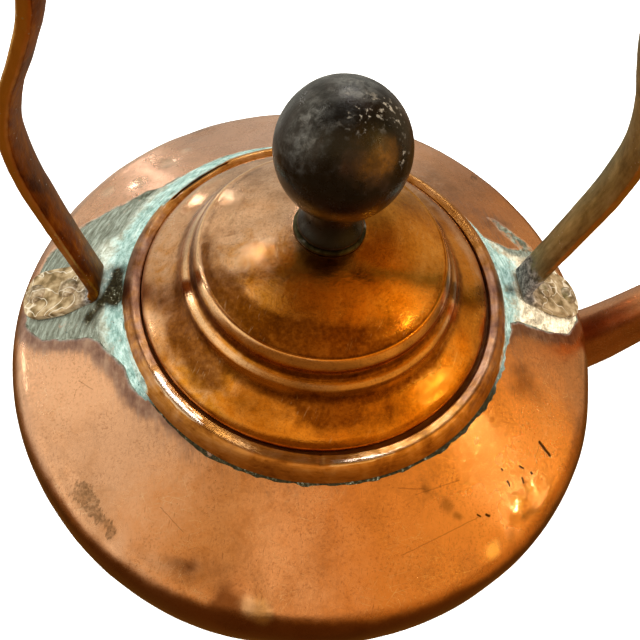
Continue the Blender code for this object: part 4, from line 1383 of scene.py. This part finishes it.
def build_grip(wood, brass, dark):
    """A barrel grip turned with beads at its ends, ferrules, and the rod headed over the straps."""
    lay = Matrix.Translation((0, 0, GRIP_Z)) @ Matrix.Rotation(math.pi / 2, 4, "Y")
    barrel = [46.0 * i / 22 for i in range(23)]
    half = [(8.9 + (GRIP_R / MM - 8.9) * math.cos(math.pi / 2 * x / 50.0), x) for x in barrel]
    half += [(9.1, 46.8), (8.6, 47.4), (9.9, 48.2), (10.2, 49.3), (9.9, 50.4), (8.7, 51.1),
             (9.0, 51.8), (9.3, 54.0), (9.5, 57.5)]
    line = [(3.3, 57.5)] + [(r, x) for r, x in half[:0:-1]] + [(r, -x) for r, x in half]
    line = closed_line(metres(line + [(3.3, -57.5)]), 0.9)
    grip = turned("grip", line, wood, "kettle", ["handle_grip"], 120,
                  lambda p: 0.10 * lumps(p, 14, 4, 3) * ramp(5, 8, polar(p)[0]) * MM)
    grip.data.transform(lay)
    # lighter in the middle of the top: the same grey wear with painted sheen as on the ball
    paint(grip, brown=lambda p: 0.7 * ramp(8 * MM, 44 * MM, np.abs(p[:, 0])) - 0.1, specks=0.15,
          worn=lambda p: 0.55 * ramp(40 * MM, 10 * MM, np.abs(p[:, 0]))
          * ramp(GRIP_Z - 4 * MM, GRIP_Z + 10 * MM, p[:, 2]))

    cup = [(3.3, 57.8), (9.5, 57.8), (10.4, 58.3), (10.5, 59.4), (9.6, 60.0), (9.8, 60.7),
           (10.3, 61.4), (9.7, 62.4), (9.2, 62.6), (3.3, 62.6)]
    for side, word in ((1, "right"), (-1, "left")):
        line = closed_line(metres([(r, side * x) for r, x in cup]), 0.7)
        ferrule = turned("ferrule_" + word, line, brass, "kettle", ["grip_ferrule_" + word], 96,
                         lambda p: 0.08 * lumps(p, 5, 3, 2) * MM)
        ferrule.data.transform(lay)
        paint(ferrule, edge=lambda p: 0.65 + 0.5 * lumps(p, 5, 3, 2), solder=0, foot=0)

    head = [(0.05, 70.0), (2.2, 69.8), (4.2, 69.0), (5.5, 67.9), (5.6, 67.4), (3.0, 67.3)]
    line = divide(metres([(r, -x) for r, x in head] + head[::-1]), 1.6 * MM)
    rod = turned("rod", line, dark, "kettle", ["grip_rod"], 48,
                 lambda p: 0.15 * lumps(p, 2.4, 6, 2) * ramp(3.2, 4, polar(p)[0]) * MM)
    rod.data.transform(lay)


# ---- Spout ---------------------------------------------------------------------------
# The spout from inside the wall to its lip: x, z, half height and half width of its section.
SPOUT_MM = (
    (96.0, 35.0, 26.2, 22.5), (117.0, 43.0, 23.6, 20.0), (137.0, 53.5, 20.3, 17.2),
    (151.0, 69.0, 17.0, 14.8), (159.2, 88.0, 14.4, 12.8), (165.5, 106.5, 12.4, 11.3),
    (174.5, 122.5, 10.8, 10.1), (186.5, 134.5, 9.8, 9.3), (198.5, 141.5, 9.3, 8.9),
)


def spout_point(t, turn, grow):
    """A point on the spout's skin in mm, grown outwards by a wall or a clearance."""
    x, z, half_h, half_w = curve_through(SPOUT_MM, t)
    ahead, behind = curve_through(SPOUT_MM, t + 0.01), curve_through(SPOUT_MM, t - 0.01)
    along = (ahead - behind)[:2]
    along = along / np.linalg.norm(along)
    high, wide = (half_h + grow) * math.sin(turn), (half_w + grow) * math.cos(turn)
    return np.array([x - along[1] * high, wide, z + along[0] * high])


def meet_wall(turn, grow, clearance):
    """Where the spout's skin leaves the side wall."""
    low, high = 0.0, 0.45
    radii, heights = np.array(WALL_MM[::-1]).T
    for _ in range(24):
        middle = (low + high) / 2
        point = spout_point(middle, turn, grow)
        inside = math.hypot(point[0], point[1]) < np.interp(point[2], heights, radii) + clearance
        low, high = (middle, high) if inside else (low, middle)
    return (low + high) / 2


def build_spout(metal, solder, wall):
    """The tube with a beaded lip, its hole in the side wall, and the solder round its root."""
    sides, rings = 72, 90
    turns = [math.tau * i / sides for i in range(sides)]
    starts = [meet_wall(turn, 0.0, -2.6) for turn in turns]
    outer, inner = [], []
    for k in range(rings + 1):
        share = k / rings
        bead = 1.1 * math.exp(-(((share - 0.988) / 0.010) ** 2))
        outer.append([spout_point(s + (1 - s) * share, a, bead) for s, a in zip(starts, turns)])
        inner.append([spout_point(s + (1 - s) * share, a, -1.3) for s, a in zip(starts, turns)])
    rows = np.array(outer + inner[::-1]) * MM
    uneven = 0.22 * lumps(rows, 22, 12, 2) + 0.06 * lumps(rows, 7, 2, 2)
    rows = pushed_out(rows, rows.mean(axis=1, keepdims=True), uneven)
    faces = grid_faces(rows.shape[0], sides, True, True)
    spout = mesh_object("spout", rows.reshape(-1, 3), faces, metal, "kettle", ["spout_tube"])
    paint(spout, scorch=lambda p: 0.5 * ramp(132 * MM, 120 * MM, p[:, 0]),
          tarnish=lambda p: 0.5 * ramp(60 * MM, 20 * MM, p[:, 2])
          + 0.225 * ramp(1.0 * MM, 0.0, np.abs(p[:, 1])))

    hole = [[spout_point(t, turn, 0.3) * MM for turn in turns] for t in np.linspace(0, 0.42, 14)]
    cutter = mesh_object("spout_hole_guide", np.array(hole).reshape(-1, 3),
                         grid_faces(14, sides, False, True, caps=True), metal, "kettle")
    change = wall.modifiers.new("spout_hole", "BOOLEAN")
    change.operation = "DIFFERENCE"
    change.solver = "EXACT"
    change.object = cutter
    apply_modifiers(wall)
    bpy.data.objects.remove(cutter)

    steps = 160
    rows = []
    for i in range(steps):
        turn = math.tau * i / steps
        wobble = float(lumps(np.array([[math.cos(turn), math.sin(turn), 0.3]]), 220, 5, 3)[0])
        wide = 3.6 + 1.1 * wobble
        foot = meet_wall(turn, 0.2, 0.1)
        sunk = spout_point(meet_wall(turn, -0.4, -0.6), turn, -0.4)
        up = spout_point(foot + 0.030 + 0.008 * wobble, turn, 0.12)
        mid = spout_point(meet_wall(turn, 1.5, 1.3), turn, 1.7)
        low = spout_point(meet_wall(turn, wide * 0.72, 0.45), turn, wide * 0.72)
        out = spout_point(meet_wall(turn, wide, -0.1), turn, wide)
        rows.append([sunk, up, (up + mid) / 2 + (mid - sunk) * 0.10, mid, low, out])
    rows = np.array(rows) * MM
    rows = pushed_out(rows, rows.mean(axis=1, keepdims=True), 0.25 * lumps(rows, 3, 3, 3))
    bead = mesh_object("spout_bead", rows.reshape(-1, 3), grid_faces(steps, 6, True, True), solder,
                       "kettle", ["spout_solder"], 80.0)
    smooth = bead.modifiers.new("round", "SUBSURF")
    smooth.levels = smooth.render_levels = 2
    paint(bead, teal=lambda p: 0.25 + 0.5 * lumps(p, 15, 6, 2),
          grime=lambda p: 0.3 + 0.3 * lumps(p, 9, 2, 2), film=lambda p: 0.4 + 0.3 * lumps(p, 12, 5, 2))


def apply_modifiers(piece):
    """Replace the mesh by its evaluated one."""
    graph = bpy.context.evaluated_depsgraph_get()
    graph.update()
    mesh = bpy.data.meshes.new_from_object(piece.evaluated_get(graph), depsgraph=graph)
    mesh.name = piece.name
    piece.modifiers.clear()
    piece.data = mesh


# ---- Stage ---------------------------------------------------------------------------
# Soft lights aimed at the lid: azimuth, elevation, distance, size, power in watts, colour.
LIGHTS = {
    "window": (82, 46, 1.6, (0.26, 0.36), 3.6, (1.0, 0.98, 0.95)),
    "side_window": (119, 9, 1.5, (0.05, 0.09), 0.30, (1.0, 0.96, 0.90)),
    "back_lamp": (140, 51, 1.5, (0.04, 0.04), 0.26, (1.0, 0.97, 0.93)),
    "left_window": (170, 10, 1.5, (0.10, 0.12), 0.34, (1.0, 0.93, 0.78)),
    "lamp": (-14, 40, 1.3, (0.05, 0.06), 0.35, (1.0, 0.80, 0.42)),
    "low_lamp": (-24, 29, 1.3, (0.05, 0.05), 0.22, (1.0, 0.86, 0.52)),
}
# The camera looks down, is turned a little to the right and is rolled.
CAMERA_AT = (-21.8 * MM, -107.3 * MM, LID_Z + 168.5 * MM)
CAMERA_TURN = math.radians(-13.12)
CAMERA_TILT = math.radians(28.36)
CAMERA_ROLL = math.radians(11.4)
CAMERA_LENS = 27.49


def area_light(name, azimuth, elevation, distance, size, power, colour):
    """A soft light aimed at the lid."""
    data = bpy.data.lights.new(name, "AREA")
    data.shape = "ELLIPSE"
    data.size, data.size_y = size
    data.energy = power
    data.color = colour
    light = bpy.data.objects.new(name, data)
    bpy.context.scene.collection.objects.link(light)
    way = direction(azimuth, elevation)
    light.location = Vector((0, 0, LID_Z)) + way * distance
    light.rotation_euler = (-way).to_track_quat("-Z", "Y").to_euler()
    return light


# Soft light from a way: azimuth, elevation, where it starts and is full, colour.
ROOM_LOBES = (
    (100, 7, 0.45, 0.92, (0.62, 0.60, 0.52)), (136, 25, 0.74, 0.97, (0.76, 0.68, 0.52)),
    (172, 9, 0.88, 0.985, (0.95, 0.84, 0.62)), (-166, 38, 0.80, 0.97, (1.05, 0.89, 0.60)),
    (-122, 50, 0.90, 0.99, (0.70, 0.42, 0.14)), (-82, 49, 0.91, 0.985, (1.00, 0.68, 0.34)),
    (-28, 34, 0.56, 0.93, (0.68, 0.31, 0.045)), (-50, 42, 0.93, 0.99, (0.98, 0.54, 0.13)),
    (-16, 36, 0.90, 0.99, (1.10, 0.60, 0.09)), (22, 10, 0.84, 0.98, (0.62, 0.45, 0.25)),
)


def direction(azimuth, elevation):
    """The way to an azimuth and an elevation."""
    turn, rise = math.radians(azimuth), math.radians(elevation)
    return Vector((math.cos(rise) * math.cos(turn), math.cos(rise) * math.sin(turn), math.sin(rise)))


def room():
    """A dim warm room with daylight from the back and left and lamplight from the front right."""
    world = bpy.data.worlds.new("room")
    world.use_nodes = True
    w = Nodes(world.node_tree)
    way = w.node("ShaderNodeTexCoord").outputs["Generated"]
    lobes = [w.between(w.vector("DOT_PRODUCT", "Value", way, direction(azimuth, elevation)), low, high)
             for azimuth, elevation, low, high, _ in ROOM_LOBES]
    colour = (0.21, 0.09, 0.015)
    for lobe, entry in zip(lobes, ROOM_LOBES):
        colour = w.mix(lobe, colour, entry[4])
    clutter = w.node("ShaderNodeTexNoise")
    clutter.inputs["Scale"].default_value = 5.0
    clutter.inputs["Detail"].default_value = 2.5
    w.feed(clutter.inputs["Vector"], way)
    strength = w.between(clutter.outputs["Fac"], 0.42, 0.58, 0.74, 1.22)
    background = w.wired(w.tree.nodes["Background"], 0, colour, strength)
    pale = w.wired(w.node("ShaderNodeBackground"), 0, (0.97, 0.97, 0.97, 1.0))
    seen = w.node("ShaderNodeMixShader")
    straight = w.node("ShaderNodeLightPath").outputs["Is Camera Ray"]
    w.feed(w.tree.nodes["World Output"].inputs["Surface"], w.wired(seen, 0, straight, background, pale))
    return world


def build_stage():
    """Floor, room, lamps and camera."""
    scene = bpy.context.scene
    bpy.ops.mesh.primitive_plane_add(size=6.0)
    floor = bpy.context.object
    floor.name = "floor"
    f = Finish("floor_finish", 0.9, 0.0)
    floor.data.materials.append(f.set((0.90, 0.90, 0.90, 1.0)))
    floor.visible_glossy = False

    scene.world = room()
    for name, settings in LIGHTS.items():
        area_light(name, *settings)
    ceiling = area_light("ceiling", -90, 84, 3.0, (4.5, 4.5), 330, (0.90, 0.97, 1.0))
    ceiling.visible_glossy = False

    data = bpy.data.cameras.new("camera")
    data.lens = CAMERA_LENS
    data.sensor_width = 36.0
    data.clip_start = 0.01
    camera = bpy.data.objects.new("camera", data)
    scene.collection.objects.link(camera)
    camera.matrix_world = (Matrix.Translation(CAMERA_AT) @ Matrix.Rotation(CAMERA_TURN, 4, "Z")
                           @ Matrix.Rotation(CAMERA_TILT, 4, "X")
                           @ Matrix.Rotation(CAMERA_ROLL, 4, "Z"))
    scene.camera = camera
    scene.view_settings.view_transform = "Standard"


def main():
    """The materials, the pieces from the body outwards, then the stage."""
    # the pink colour is painted light for the side under the cooler light
    orange, rosy = (0.74, 0.36, 0.17), (0.78, 0.47, 0.33)
    body_metal = copper("body_copper_finish", orange, rosy, 0.25,
                        ("scorch", "tarnish", "patina", "stain", "rosy"))
    side_metal = copper("side_copper_finish", (0.64, 0.30, 0.15), rosy, 0.30, ("scorch", "tarnish"))
    crust = crust_finish()
    brass = {
        1: strap_brass("strap_right_finish", ((0.12, 0.11, 0.06), (0.33, 0.31, 0.165),
                                              (0.54, 0.49, 0.28))),
        -1: strap_brass("strap_left_finish", ((0.075, 0.024, 0.002), (0.27, 0.095, 0.005),
                                              (0.54, 0.23, 0.02))),
    }
    wood = black_wood("black_wood_finish")
    dark = iron()

    wall = build_body(body_metal, side_metal)
    build_collar(collar_copper())
    build_crust(crust)
    build_lid(lid_copper())
    seat_ring = strap_brass("seat_ring_finish", ((0.022, 0.020, 0.010), (0.060, 0.056, 0.030),
                                                 (0.15, 0.145, 0.085)))
    build_knob(wood, seat_ring, dark)
    build_straps(brass)
    build_rivets(brass[1])
    build_grip(wood, brass[1], dark)
    build_spout(side_metal, crust, wall)
    build_stage()


main()
